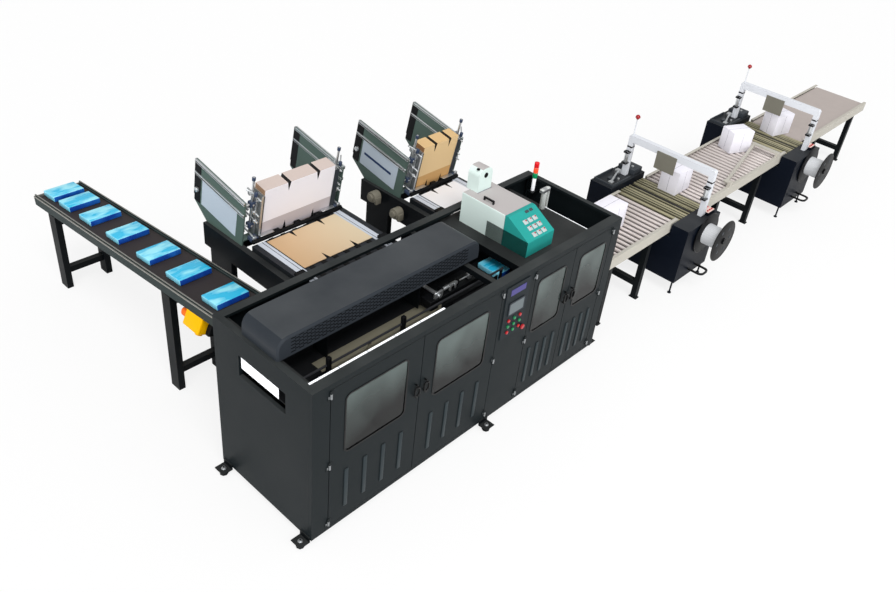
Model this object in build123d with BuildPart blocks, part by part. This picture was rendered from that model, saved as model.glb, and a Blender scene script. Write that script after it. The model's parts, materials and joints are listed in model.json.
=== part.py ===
"""Ream case packer: a packing line that wraps stacks of paper reams in blanks and straps the cases.

X runs along the line with the cases, Y to the rear, Z up from the floor. The origin is on the floor under
the levelling foot at the cabinet's front left corner. All sizes are in millimetres.
"""

import math
import os

from build123d import *

os.makedirs("parts", exist_ok=True)

SEAT = 0.3  # air between two pieces that are bolted together

# Cabinet: a sheet metal housing, open at the top
CAB_X = 47
CAB_Y = -66
CAB_LENGTH = 3480
CAB_DEPTH = 1070
CAB_TOP = 1495
SKIRT_LOW = 70
SHEET = 3
FOLD = 30
FRONT_RIM = 85
REAR_RIM = 70
END_RIM = 50
RIM_LIP = 25
CAB_RIGHT = CAB_X + CAB_LENGTH
CAB_REAR = CAB_Y + CAB_DEPTH
CAB_HEIGHT = CAB_TOP - SKIRT_LOW
CAB_MID_X = CAB_X + CAB_LENGTH / 2
CAB_MID_Y = CAB_Y + CAB_DEPTH / 2
CAB_MID_Z = SKIRT_LOW + CAB_HEIGHT / 2
INSIDE_FRONT = CAB_Y + FOLD
INSIDE_REAR = CAB_REAR - FOLD
INSIDE_LEFT = CAB_X + FOLD
INSIDE_RIGHT = CAB_RIGHT - FOLD
RIM_LENGTH = INSIDE_RIGHT - INSIDE_LEFT - 2 * SEAT
RIM_MID_Y = CAB_MID_Y + (FRONT_RIM - REAR_RIM) / 2

# The right bay holds the glue unit; the bed and the hood end where it starts
GLUE_BAY = 1240
BED_END = CAB_LENGTH - GLUE_BAY

# Openings in the end and rear panels
SLOT_Y = 528
SLOT_Z = 1223
SLOT_WIDTH = 510
SLOT_HEIGHT = 185
OUTLET_Z = 930
OUTLET_HEIGHT = 360

# Doors hang in pairs at the front, beside a fixed control section
DOOR_PAIRS = ((150, BED_END - 365), (BED_END + 40, CAB_LENGTH - 115))
DOOR_LOW = 100
DOOR_HIGH = 1450
DOOR_GAP = 6
DOOR_FOLD = 25
WINDOW_LOW = 785
WINDOW_HIGH = 1320
WINDOW_RADIUS = 45
WINDOW_MARGINS = ((132, 144), (58, 98))
GLASS = 5
GLASS_LAP = 15
RIB_COUNT = 4
RIB_LOW = 225
RIB_HIGH = 605
RIB_WIDTH = 34
RIB_RAISE = 6
RIB_CUT = 12
RIB_SLOPE = 40
RIB_SPREAD = 4.75
HANDLE_Z = 962
HANDLE_INSET = 45
HANDLE_WIDTH = 62
HANDLE_HEIGHT = 128
HANDLE_BAR = 15
HANDLE_STAND = 16
HANDLE_CUT = 20
HINGE_HEIGHTS = (150, 740, 1400)
HINGE_LENGTH = 64
HINGE_RADIUS = 8
HINGE_SIDES = 8
HINGE_LEAF = 26
HINGE_THICK = 3
HINGE_AXIS = 9  # from the front of the cabinet to the hinge axis

# Operator panel on the control section
PANEL_X = BED_END - 180
PANEL_WIDTH = 290
PANEL_LOW = 925
PANEL_HIGH = 1440
PANEL_THICK = 8
SCREEN_WIDTH = 190
SCREEN_HEIGHT = 120
SCREEN_Z = 1215
BUTTON_RADIUS = 14
BUTTON_PITCH_X = 72
BUTTON_PITCH_Z = 58
BUTTON_Z = 1040
BUTTON_RAISE = 12
BUTTON_SIDES = 8
STOP_RADIUS = 22
STOP_RAISE = 26
STOP_AT = (115, -81)  # from the middle button
STOP_SIDES = 12

# Levelling feet: angle brackets on the outside, each on a threaded stem and a pad
FOOT_REACH = 92
FOOT_WIDTH = 106
FOOT_PLATE = 8
FOOT_HEIGHT = 44
FOOT_RISE = 50
PAD_RADIUS = 34
PAD_HEIGHT = 10
STEM_RADIUS = 9
PAD_SIDES = 8
STEM_SIDES = 6
BASE_TUBE = 50

# Inside the cabinet
BED_TOP = 1180
BED_PLATE = 10
LANE_Y = 485
LANE_WIDTH = 310
LANE_WALL = 6
LANE_HEIGHT = 75
ROD_RADIUS = 9
ROD_Z = 1330
ROD_SIDES = 8
DECK_TOP = 1400
DECK_PLATE = 6
DECK_X = BED_END + 34
DECK_END = CAB_LENGTH - 270
DECK_FOLD = 60
BEAM_SIZE = 50
BEAM_AT = (60, BED_END - 360)

# Hood over the pusher drive
HOOD_X = 28
HOOD_LENGTH = BED_END - 258
HOOD_Y = 385
HOOD_WIDTH = 395
HOOD_TOP = 1662
HOOD_WALL = 3
HOOD_END_RADIUS = 95
HOOD_BEVEL = 14
VENT_ROWS = 2
VENT_COUNT = 6
VENT_LENGTH = 42
VENT_HEIGHT = 8
VENT_PITCH_X = 330
VENT_PITCH_Z = 28

# Lamp strip along the front rim
LAMP_SEGMENTS = 5
LAMP_LENGTH = 248
LAMP_GAP = 4
LAMP_SIZE = 18

# Hot glue unit on the deck
GLUE_X = BED_END + 170
GLUE_WIDTH = 345
GLUE_FRONT = 214
HEAD_DEPTH = 266
BODY_DEPTH = 475
GLUE_TOP = 1680
HEAD_STEP = 1545
HEAD_LIP = 33
HEAD_EDGE = 6
TANK_CORNER = 8
PUMP_WIDTH = 170
PUMP_DEPTH = 125
PUMP_TOP = 1890
PUMP_X = GLUE_X + 90
PUMP_Y = 868
PUMP_HOLE = 22
PUMP_CORNER = 68
LID_HANDLE_Y = 708
LID_HANDLE_X = GLUE_X + 54
LID_HANDLE_LENGTH = 112
LID_HANDLE_BAR = 14
LID_HANDLE_RAISE = 34

# Signal tower and air regulator
TOWER_X = CAB_LENGTH - 80
TOWER_Y = 930
TOWER_FOOT = 1372
TOWER_POLE = 1505
TOWER_TOP = 1665
TOWER_RADIUS = 22
TOWER_LAMPS = 3
TOWER_JOINT = 4
TOWER_SIDES = 12
POLE_RADIUS = 16
REGULATOR_X = DECK_END - 45
REGULATOR_Y = 640
REGULATOR_RADIUS = 24
REGULATOR_TOP = 1600

# Infeed belt conveyor, falling gently towards its loading end
INFEED_X = 215
INFEED_WIDTH = 468
INFEED_LENGTH = 3240
INFEED_HIGH = 1190
INLET_HEIGHT = 216
INFEED_SLOPE = 5.8
INFEED_SIDE = 88
INFEED_SIDE_THICK = 34
BELT_THICK = 5
BELT_DEPTH = 62
BELT_DROP = 14
DRUM_RADIUS = 24
DRUM_SIDES = 8
BRACE_WIDTH = 40
BRACE_THICK = 8
GUIDE_HEIGHT = 14
GUIDE_THICK = 10
INFEED_LEGS = (1010, 2935)
INFEED_LEG_DEPTH = 118
INFEED_LEG_WIDTH = 60
LOW_BAR_Z = 150
TOP_BAR_DROP = 110
MOTOR_AT = 640
MOTOR_IN = 94
MOTOR_BOX = 118
MOTOR_BOX_HEIGHT = 142
MOTOR_RADIUS = 52
MOTOR_SIDES = 12
MOTOR_LENGTH = 190
REAM_LENGTH = 297
REAM_WIDTH = 212
REAM_THICK = 52
REAMS_FROM_END = (28, 323, 708, 1180, 1676, 2126, 2630)

# Blank feeders behind the cabinet
BEAM_LOW = 1088
BEAM_HIGH = 1300
BEAM_THICK = 56
FEEDER_LEG_DEPTH = 290
FEEDER_LEG_OUT = 86
FEEDER_FOOT = 16
FEEDER_TIE = 80
TILT = 10.5
SIDE_START = 42
SIDE_DROP = 40
SIDE_LENGTH = 655
SIDE_HEIGHT = 418
SIDE_THICK = 12
SIDE_RAIL = 26
SIDE_RAIL_THICK = 10
FLOOR_BAR = 60
FLOOR_BAR_THICK = 12
STACK_Z = 1352
STACK_DEPTH = 126
BLANK_HEIGHT = 474
NOTCH_DEPTH = 86
NOTCH_WIDTH = 34
TABLE_TOP = 1344
TABLE_SHORT = 60
BLANK_SHORT = 90
TABLE_PLATE = 14
TABLE_BELT = 44
TABLE_BELT_RAISE = 5
TABLE_BELTS = 6
BLANK_THICK = 4
SCREW_RADIUS = 9
SCREW_SIDES = 8
SCREW_LOW = 118
SCREW_HIGH = 332
GUIDE_LENGTH = 427
CLAMP = 40
GUIDE_PLATE = 8
GUIDE_DEPTH = 130

# Outfeed conveyor
CASE_PLANE = 783
OUTFEED_Y = 180
OUTFEED_WIDTH = 760
RAIL_HEIGHT = 118
RAIL_FLANGE = 34
RAIL_WEB = 4
RAIL_ABOVE = 20
ROLLER_RADIUS = 25
ROLLER_PITCH = 78
ROLLER_SIDES = 8
OUTFEED_START = CAB_RIGHT + SEAT
OUTFEED_END = CAB_LENGTH + 6760
LEG_TUBE = 60
OUTFEED_LEGS = [CAB_LENGTH + reach for reach in (387, 1097, 2530, 3575, 5140, 6400)]
LEG_PAD = 12
EXIT_BELT_DEPTH = 70

# Strapping machines
STRAP_STARTS = (CAB_LENGTH + 1450, CAB_LENGTH + 4030)
STRAP_LENGTH = 670
STRAP_FRONT = -30
STRAP_BACK = 1230
STRAP_LOW = 150
NEAR_TOP = 790
FAR_TOP = 850
NEAR_BOX = 200
FAR_BOX = 275
WELL_TOP = 640
STRAP_FOOT_RADIUS = 22
STRAP_FOOT_INSET = 60
STRAP_FOOT_STEM = 10
STRAP_FOOT_SIDES = 8
TABLE_START = 135
TABLE_LENGTH = 545
TRACK_AT = 425
TRACK_WIDTH = 34
SMALL_ROLLER = 16
SMALL_PITCH = 40
SMALL_SIDES = 8
ARCH_NEAR = 46
ARCH_FAR = 1100
ARCH_TOP = 1330
ARCH_LEG = 58
ARCH_BEAM = 78
ARCH_THICK = 60
ARCH_RADIUS = 24
CYLINDER_RADIUS = 21
CYLINDER_LENGTH = 150
CYLINDER_SINK = 4
CYLINDER_Z = 1000
CYLINDER_SIDES = 8
CLAMP_HEIGHT = 22
STOP_PLATE_Y = 610
STOP_PLATE_WIDTH = 240
STOP_PLATE_LOW = 1095
STOP_PLATE_THICK = 10
BEACON_RADIUS = 6
BEACON_SIDES = 6
BEACON_BALL = 27
BEACON_CAP = 20
BEACON_SLOPE = 38
BEACON_Z = 1535
KEY_BOX_LENGTH = 150
KEY_BOX_DEPTH = 112
KEY_BOX_HEIGHT = 34
KEY_BOX_AT = 470
REEL_AT = 415
REEL_Z = 634
REEL_RADIUS = 235
REEL_WIDTH = 205
REEL_GAP = 14
REEL_FLANGE = 6
REEL_SIDES = 24
COIL_RADIUS = 158
HUB_RADIUS = 45
NUT_RADIUS = 32
NUT_SIDES = 6
SHAFT_RADIUS = 15
SHAFT_PLAY = 0.1
REEL_HOLES = 6
REEL_HOLE_RADIUS = 30
REEL_HOLE_CIRCLE = 195
REEL_HOLE_SIDES = 6
ARM_RADIUS = 9
LOOP_REACH = 175
LOOP_WIDTH = 170
LOOP_Z = 232

# Cases on the line
CASE_LENGTH = 305
CASE_WIDTH = 222
CASE_HEIGHT = 268
CASE_SPOTS = (
    (CAB_LENGTH + 860, 604, 0),
    (CAB_LENGTH + 2175, 600, 0),
    (CAB_LENGTH + 3715, 668, -24),
    (CAB_LENGTH + 4670, 585, -16),
)

# Diverter guide over the rollers ahead of the second strapper
GUIDE_START = (CAB_LENGTH + 2695, 235)
GUIDE_END = (CAB_LENGTH + 3965, 520)
GUIDE_BAR = 32
GUIDE_Z = 842
GUIDE_ROLLER = 13
GUIDE_ROLLERS = 18
GUIDE_ROLLER_SIDES = 6


def facing_front(y):
    """Upright plane at y: sketch X is X, sketch Y is Z, and a positive extrusion comes forward."""
    return Plane(origin=(0, y, 0), x_dir=(1, 0, 0), z_dir=(0, -1, 0))


def facing_right(x):
    """Upright plane at x: sketch X is Y, sketch Y is Z, and a positive extrusion goes right."""
    return Plane(origin=(x, 0, 0), x_dir=(0, 1, 0), z_dir=(1, 0, 0))


def level(z):
    """Level plane at height z."""
    return Plane(origin=(0, 0, z), x_dir=(1, 0, 0), z_dir=(0, 0, 1))


def span(low, high):
    """Middle and length of the stretch from low to high."""
    return (low + high) / 2, high - low


def cut_corners(width, height, cut):
    """Corner points of a rectangle whose four corners are cut off at 45 degrees."""
    x = width / 2
    y = height / 2
    return (
        (x - cut, y),
        (x, y - cut),
        (x, cut - y),
        (x - cut, -y),
        (cut - x, -y),
        (-x, cut - y),
        (-x, y - cut),
        (cut - x, y),
    )


def notch(middle, edge, way):
    """Corner points of a V cut into a board's edge, its point in the direction way."""
    half = NOTCH_WIDTH / 2
    return (middle - half, edge), (middle + half, edge), (middle, edge + way * NOTCH_DEPTH)


def save(piece, name):
    """Labels a finished piece and writes it under its name."""
    piece.part.label = name
    export_step(piece.part, f"parts/{name}.step")


# Base ring that carries the panels
with BuildPart() as base_frame:
    with BuildSketch(level(SKIRT_LOW + SHEET)):
        with Locations((CAB_MID_X, CAB_MID_Y)):
            Rectangle(CAB_LENGTH - 2 * FOLD - 2 * SEAT, CAB_DEPTH - 2 * FOLD - 2 * SEAT)
            Rectangle(
                CAB_LENGTH - 2 * FOLD - 2 * BASE_TUBE,
                CAB_DEPTH - 2 * FOLD - 2 * BASE_TUBE,
                mode=Mode.SUBTRACT,
            )
            with GridLocations(CAB_LENGTH / 3, 0, 2, 1):
                Rectangle(BASE_TUBE, CAB_DEPTH - 2 * FOLD - BASE_TUBE)
    extrude(amount=BASE_TUBE)
save(base_frame, "base_frame")

# End panels are sheets folded back all round, with a broad fold along the top
for name, outer, inward, mid_y, mid_z, width, height in (
    ("left_end_panel", CAB_X, 1, CAB_Y + SLOT_Y, SLOT_Z, SLOT_WIDTH, SLOT_HEIGHT),
    (
        "right_end_panel",
        CAB_RIGHT,
        -1,
        CAB_Y + OUTFEED_Y + OUTFEED_WIDTH / 2,
        OUTLET_Z,
        OUTFEED_WIDTH,
        OUTLET_HEIGHT,
    ),
):
    with BuildPart() as end_panel:
        with BuildSketch(facing_right(outer)):
            with Locations((CAB_MID_Y, CAB_MID_Z)):
                Rectangle(CAB_DEPTH - 2 * FOLD - 2 * SEAT, CAB_HEIGHT)
            with Locations((mid_y, mid_z)):
                Rectangle(width, height, mode=Mode.SUBTRACT)
        extrude(amount=inward * SHEET)
        with BuildSketch(facing_right(outer)):
            with Locations((CAB_MID_Y, CAB_MID_Z)):
                Rectangle(CAB_DEPTH - 2 * FOLD - 2 * SEAT, CAB_HEIGHT)
                Rectangle(
                    CAB_DEPTH - 2 * FOLD - 2 * SHEET, CAB_HEIGHT - 2 * SHEET, mode=Mode.SUBTRACT
                )
            with Locations((mid_y, mid_z)):
                Rectangle(width + 2 * SHEET, height + 2 * SHEET)
                Rectangle(width, height, mode=Mode.SUBTRACT)
        extrude(amount=inward * (FOLD - SEAT))
        with BuildSketch(level(CAB_TOP)):
            with Locations((outer + inward * END_RIM / 2, RIM_MID_Y)):
                Rectangle(END_RIM, CAB_DEPTH - FRONT_RIM - REAR_RIM - 2 * SEAT)
        extrude(amount=-SHEET)
        with BuildSketch(level(CAB_TOP)):
            with Locations((outer + inward * (END_RIM - SHEET / 2), RIM_MID_Y)):
                Rectangle(SHEET, CAB_DEPTH - FRONT_RIM - REAR_RIM - 2 * SEAT)
        extrude(amount=-RIM_LIP)
    save(end_panel, name)

# Feeders: left side, right side and front of the blank stack, rear end of the side beams
FEEDERS = (
    ("feeder_1", 822, 1848, 1838, 2375, 715),
    ("feeder_2", BED_END + 142, BED_END + 858, 1615, 2140, 440),
)
INLET_LOW = TABLE_TOP - 40
INLET_HIGH = TABLE_TOP + 90

# Rear panel, with the inlets for reams and for blanks
with BuildPart() as rear_panel:
    with BuildSketch(facing_front(CAB_REAR)):
        with Locations((CAB_MID_X, CAB_MID_Z)):
            Rectangle(CAB_LENGTH, CAB_HEIGHT)
        with Locations((CAB_X + INFEED_X + INFEED_WIDTH / 2, INFEED_HIGH)):
            Rectangle(INFEED_WIDTH - 2 * INFEED_SIDE_THICK, INLET_HEIGHT, mode=Mode.SUBTRACT)
        for feeder in FEEDERS:
            middle, length = span(feeder[1], feeder[2])
            with Locations((CAB_X + middle, (INLET_LOW + INLET_HIGH) / 2)):
                Rectangle(length - BEAM_THICK, INLET_HIGH - INLET_LOW, mode=Mode.SUBTRACT)
    extrude(amount=SHEET)
    with BuildSketch(facing_front(CAB_REAR)):
        with Locations((CAB_MID_X, CAB_MID_Z)):
            Rectangle(CAB_LENGTH, CAB_HEIGHT)
            Rectangle(CAB_LENGTH - 2 * SHEET, CAB_HEIGHT - 2 * SHEET, mode=Mode.SUBTRACT)
    extrude(amount=FOLD - SEAT)
    with BuildSketch(level(CAB_TOP)):
        with Locations((CAB_MID_X, CAB_REAR - REAR_RIM / 2)):
            Rectangle(RIM_LENGTH, REAR_RIM)
    extrude(amount=-SHEET)
    with BuildSketch(level(CAB_TOP)):
        with Locations((CAB_MID_X, CAB_REAR - REAR_RIM + SHEET / 2)):
            Rectangle(RIM_LENGTH, SHEET)
    extrude(amount=-RIM_LIP)
save(rear_panel, "rear_panel")

# Front frame: posts and rails round the door pairs, the control section and the fixed hinge halves
with BuildPart() as front_frame:
    with BuildSketch(facing_front(CAB_Y)):
        with Locations((CAB_MID_X, CAB_MID_Z)):
            Rectangle(CAB_LENGTH, CAB_HEIGHT)
        for left, right in DOOR_PAIRS:
            middle, length = span(left, right)
            with Locations((CAB_X + middle, (DOOR_LOW + DOOR_HIGH) / 2)):
                Rectangle(length, DOOR_HIGH - DOOR_LOW, mode=Mode.SUBTRACT)
    extrude(amount=-SHEET)
    with BuildSketch(facing_front(CAB_Y)):
        with Locations((CAB_MID_X, CAB_MID_Z)):
            Rectangle(CAB_LENGTH, CAB_HEIGHT)
            Rectangle(CAB_LENGTH - 2 * SHEET, CAB_HEIGHT - 2 * SHEET, mode=Mode.SUBTRACT)
        for left, right in DOOR_PAIRS:
            middle, length = span(left, right)
            with Locations((CAB_X + middle, (DOOR_LOW + DOOR_HIGH) / 2)):
                Rectangle(length + 2 * SHEET, DOOR_HIGH - DOOR_LOW + 2 * SHEET)
                Rectangle(length, DOOR_HIGH - DOOR_LOW, mode=Mode.SUBTRACT)
    extrude(amount=-(FOLD - SEAT))
    with BuildSketch(level(CAB_TOP)):
        with Locations((CAB_MID_X, CAB_Y + FRONT_RIM / 2)):
            Rectangle(RIM_LENGTH, FRONT_RIM)
    extrude(amount=-SHEET)
    with BuildSketch(level(CAB_TOP)):
        with Locations((CAB_MID_X, CAB_Y + FRONT_RIM - SHEET / 2)):
            Rectangle(RIM_LENGTH, SHEET)
    extrude(amount=-RIM_LIP)
    for pair in DOOR_PAIRS:
        for edge, outward in zip(pair, (-1, 1)):
            for height in HINGE_HEIGHTS:
                with BuildSketch(facing_front(CAB_Y)):
                    with Locations((CAB_X + edge + outward * HINGE_LEAF / 2, height - HINGE_LENGTH / 4)):
                        Rectangle(HINGE_LEAF, HINGE_LENGTH / 2)
                extrude(amount=HINGE_THICK)
                with BuildSketch(level(height)):
                    with Locations((CAB_X + edge, CAB_Y - HINGE_AXIS)):
                        RegularPolygon(HINGE_RADIUS, HINGE_SIDES)
                    with Locations((CAB_X + edge + outward * HINGE_RADIUS / 2, CAB_Y - HINGE_AXIS / 2)):
                        Rectangle(HINGE_RADIUS, HINGE_AXIS)
                extrude(amount=-HINGE_LENGTH / 2)
save(front_frame, "front_frame")

# Four doors, numbered from the left, each with pressed ribs, hinge leaves, a ring handle and a window
door_number = 0
for (left, right), (hinge_margin, lock_margin) in zip(DOOR_PAIRS, WINDOW_MARGINS):
    split = (left + right) / 2
    for edge, towards in ((left, 1), (right, -1)):
        door_number += 1
        hinge_side = CAB_X + edge + towards * DOOR_GAP
        lock_side = CAB_X + split - towards * DOOR_GAP / 2
        door_middle = (hinge_side + lock_side) / 2
        door_width = abs(lock_side - hinge_side)
        door_z, door_height = span(DOOR_LOW + DOOR_GAP, DOOR_HIGH - DOOR_GAP)
        window_z, window_height = span(WINDOW_LOW, WINDOW_HIGH)
        window_width = door_width - hinge_margin - lock_margin
        window_x = hinge_side + towards * (hinge_margin + window_width / 2)
        handle_x = lock_side - towards * HANDLE_INSET
        with BuildPart() as door:
            with BuildSketch(facing_front(CAB_Y)):
                with Locations((door_middle, door_z)):
                    Rectangle(door_width, door_height)
                with Locations((window_x, window_z)):
                    RectangleRounded(window_width, window_height, WINDOW_RADIUS, mode=Mode.SUBTRACT)
            extrude(amount=-SHEET)
            with BuildSketch(facing_front(CAB_Y)):
                with Locations((door_middle, door_z)):
                    Rectangle(door_width, door_height)
                    Rectangle(door_width - 2 * SHEET, door_height - 2 * SHEET, mode=Mode.SUBTRACT)
            extrude(amount=-DOOR_FOLD)
            rib_z, rib_height = span(RIB_LOW, RIB_HIGH)
            with BuildSketch(facing_front(CAB_Y)):
                with Locations((door_middle, rib_z)):
                    with GridLocations(door_width / RIB_SPREAD, 0, RIB_COUNT, 1):
                        Polygon(*cut_corners(RIB_WIDTH, rib_height, RIB_CUT))
            extrude(amount=RIB_RAISE, taper=RIB_SLOPE)
            for height in HINGE_HEIGHTS:
                leaf_z = height + HINGE_LENGTH / 4 + SEAT
                with BuildSketch(facing_front(CAB_Y)):
                    with Locations((hinge_side + towards * HINGE_LEAF / 2, leaf_z)):
                        Rectangle(HINGE_LEAF, HINGE_LENGTH / 2)
                extrude(amount=HINGE_THICK)
                with BuildSketch(level(height + SEAT)):
                    with Locations((CAB_X + edge, CAB_Y - HINGE_AXIS)):
                        RegularPolygon(HINGE_RADIUS, HINGE_SIDES)
                    with Locations(
                        (CAB_X + edge + towards * HINGE_RADIUS, CAB_Y - HINGE_AXIS + HINGE_THICK)
                    ):
                        Rectangle(2 * HINGE_RADIUS, 2 * HINGE_THICK)
                extrude(amount=HINGE_LENGTH / 2)
        save(door, f"door_{door_number}")
        with BuildPart() as door_handle:
            inner_width = HANDLE_WIDTH - 2 * HANDLE_BAR
            inner_height = HANDLE_HEIGHT - 2 * HANDLE_BAR
            with BuildSketch(facing_front(CAB_Y - HANDLE_STAND)):
                with Locations((handle_x, HANDLE_Z)):
                    Polygon(*cut_corners(HANDLE_WIDTH, HANDLE_HEIGHT, HANDLE_CUT))
                    Polygon(*cut_corners(inner_width, inner_height, HANDLE_CUT / 2), mode=Mode.SUBTRACT)
            extrude(amount=HANDLE_BAR)
            with BuildSketch(facing_front(CAB_Y - SEAT)):
                with Locations((handle_x, HANDLE_Z)):
                    with GridLocations(0, HANDLE_HEIGHT - HANDLE_BAR, 1, 2):
                        RegularPolygon(HANDLE_BAR / 2, HINGE_SIDES)
            extrude(amount=HANDLE_STAND - SEAT)
        save(door_handle, f"door_{door_number}_handle")
        with BuildPart() as window:
            with BuildSketch(facing_front(CAB_Y + SHEET)):
                with Locations((window_x, window_z)):
                    RectangleRounded(
                        window_width + 2 * GLASS_LAP, window_height + 2 * GLASS_LAP, WINDOW_RADIUS
                    )
            extrude(amount=-GLASS)
        save(window, f"door_{door_number}_window")

# Operator panel: a plate with a framed screen, nine push buttons and a stop button
with BuildPart() as control_panel:
    panel_z, panel_height = span(PANEL_LOW, PANEL_HIGH)
    with BuildSketch(facing_front(CAB_Y)):
        with Locations((CAB_X + PANEL_X, panel_z)):
            Polygon(*cut_corners(PANEL_WIDTH, panel_height, PANEL_THICK))
    extrude(amount=PANEL_THICK)
    with BuildSketch(facing_front(CAB_Y - PANEL_THICK)):
        with Locations((CAB_X + PANEL_X, SCREEN_Z)):
            Rectangle(SCREEN_WIDTH, SCREEN_HEIGHT)
    extrude(amount=PANEL_THICK)
    with BuildSketch(facing_front(CAB_Y - PANEL_THICK)):
        with Locations((CAB_X + PANEL_X, BUTTON_Z)):
            with GridLocations(BUTTON_PITCH_X, BUTTON_PITCH_Z, 3, 3):
                RegularPolygon(BUTTON_RADIUS, BUTTON_SIDES)
    extrude(amount=BUTTON_RAISE)
    with BuildSketch(facing_front(CAB_Y - PANEL_THICK)):
        with Locations((CAB_X + PANEL_X + STOP_AT[0], BUTTON_Z + STOP_AT[1])):
            RegularPolygon(STOP_RADIUS, STOP_SIDES)
    extrude(amount=STOP_RAISE)
save(control_panel, "control_panel")

# Levelling feet: two at each end and one in the middle of the front and rear
with BuildPart() as levelling_feet:
    for at_x, at_y, turn in (
        (CAB_X, 0, 180),
        (CAB_X, CAB_REAR - 2 * FOOT_WIDTH / 3, 180),
        (CAB_RIGHT, 0, 0),
        (CAB_RIGHT, CAB_REAR - 2 * FOOT_WIDTH / 3, 0),
        (CAB_X + DOOR_PAIRS[0][1], CAB_Y, -90),
        (CAB_X + DOOR_PAIRS[0][1], CAB_REAR, 90),
    ):
        foot = Plane(origin=(at_x, at_y, 0), z_dir=(0, 0, 1)).rotated((0, 0, turn))
        with BuildSketch(foot.offset(FOOT_HEIGHT)):
            with Locations((SEAT + FOOT_REACH / 2, 0)):
                Rectangle(FOOT_REACH, FOOT_WIDTH)
        extrude(amount=FOOT_PLATE)
        with BuildSketch(foot.offset(FOOT_HEIGHT)):
            with Locations((SEAT + FOOT_PLATE / 2, 0)):
                Rectangle(FOOT_PLATE, FOOT_WIDTH)
        extrude(amount=FOOT_RISE)
        with BuildSketch(foot):
            with Locations((CAB_X, 0)):
                RegularPolygon(PAD_RADIUS, PAD_SIDES)
        extrude(amount=PAD_HEIGHT)
        with BuildSketch(foot):
            with Locations((CAB_X, 0)):
                RegularPolygon(STEM_RADIUS, STEM_SIDES)
        extrude(amount=FOOT_HEIGHT + 3 * FOOT_PLATE)
save(levelling_feet, "levelling_feet")

# Machine bed: a plate across the cabinet with a ream lane, lane walls and guide rods
with BuildPart() as machine_bed:
    bed_x, bed_length = span(INSIDE_LEFT + SEAT, CAB_X + BED_END)
    bed_y, bed_width = span(INSIDE_FRONT + SEAT, INSIDE_REAR - SEAT)
    with BuildSketch(level(BED_TOP)):
        with Locations((bed_x, bed_y)):
            Rectangle(bed_length, bed_width)
    extrude(amount=-BED_PLATE)
    for side in (-1, 1):
        with BuildSketch(level(BED_TOP)):
            with Locations((bed_x, CAB_Y + LANE_Y + side * LANE_WIDTH / 2)):
                Rectangle(bed_length - 4 * BED_PLATE, LANE_WALL)
        extrude(amount=LANE_HEIGHT)
        with BuildSketch(facing_right(INSIDE_LEFT + SEAT)):
            with Locations((CAB_Y + LANE_Y + side * (LANE_WIDTH / 2 + 3 * ROD_RADIUS), ROD_Z)):
                RegularPolygon(ROD_RADIUS, ROD_SIDES)
        extrude(amount=bed_length)
        with BuildSketch(level(BED_TOP)):
            with Locations((bed_x, CAB_Y + LANE_Y + side * (LANE_WIDTH / 2 + 3 * ROD_RADIUS))):
                with GridLocations((bed_length - 4 * ROD_RADIUS) / 3, 0, 4, 1):
                    Rectangle(2 * ROD_RADIUS, 2 * ROD_RADIUS)
        extrude(amount=ROD_Z - BED_TOP)
save(machine_bed, "machine_bed")

# Pusher drive: two cross beams, a track under the hood and two hanging pusher plates
with BuildPart() as pusher_drive:
    beam_y, beam_span = span(INSIDE_FRONT + SEAT, INSIDE_REAR - SEAT)
    beam_z = CAB_TOP - RIM_LIP - SEAT
    track_x, track_length = span(CAB_X + BEAM_AT[0], CAB_X + BEAM_AT[1])
    for at in BEAM_AT:
        with BuildSketch(level(beam_z)):
            with Locations((CAB_X + at, beam_y)):
                Rectangle(BEAM_SIZE, beam_span)
        extrude(amount=-BEAM_SIZE)
    with BuildSketch(facing_right(CAB_X + BEAM_AT[0])):
        with Locations((CAB_Y + HOOD_Y + HOOD_WIDTH / 2, beam_z - BEAM_SIZE / 2)):
            Rectangle(2 * BEAM_SIZE, BEAM_SIZE)
    extrude(amount=track_length)
    for part_way in (1 / 4, 3 / 4):
        with BuildSketch(level(beam_z - BEAM_SIZE)):
            with Locations(
                (CAB_X + BEAM_AT[0] + part_way * track_length, CAB_Y + HOOD_Y + HOOD_WIDTH / 2 - BEAM_SIZE)
            ):
                Rectangle(LANE_WALL, LANE_WIDTH / 2)
        extrude(amount=-(beam_z - BEAM_SIZE - BED_TOP - LANE_HEIGHT / 2))
save(pusher_drive, "pusher_drive")

# Hood: an open-bottomed cover with round ends, a bevelled outline and vents
with BuildPart() as hood_cover:
    hood_low = CAB_TOP + SEAT
    hood_z, hood_height = span(hood_low, HOOD_TOP)
    hood_x = CAB_X + HOOD_X + HOOD_LENGTH / 2
    with BuildSketch(facing_front(CAB_Y + HOOD_Y)):
        with Locations((hood_x, hood_z)):
            Rectangle(HOOD_LENGTH, hood_height)
    extrude(amount=-HOOD_WIDTH)
    top_face = hood_cover.faces().sort_by(Axis.Z)[-1]
    fillet(top_face.edges().filter_by(Axis.Y), HOOD_END_RADIUS)
    front_and_back = hood_cover.faces().sort_by(Axis.Y)[0:1] + hood_cover.faces().sort_by(Axis.Y)[-1:]
    outline = front_and_back.edges().filter_by(lambda edge: edge.center().Z > hood_low + HOOD_WALL)
    chamfer(outline, HOOD_BEVEL)
    bottom_face = hood_cover.faces().sort_by(Axis.Z)[0]
    offset(amount=-HOOD_WALL, openings=bottom_face)
    with BuildSketch(facing_front(CAB_Y + HOOD_Y)):
        with Locations((hood_x, hood_z)):
            with GridLocations(VENT_PITCH_X, VENT_PITCH_Z, VENT_COUNT, VENT_ROWS):
                Rectangle(VENT_LENGTH, VENT_HEIGHT)
    extrude(amount=-2 * HOOD_WALL, mode=Mode.SUBTRACT)
save(hood_cover, "hood_cover")

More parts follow.
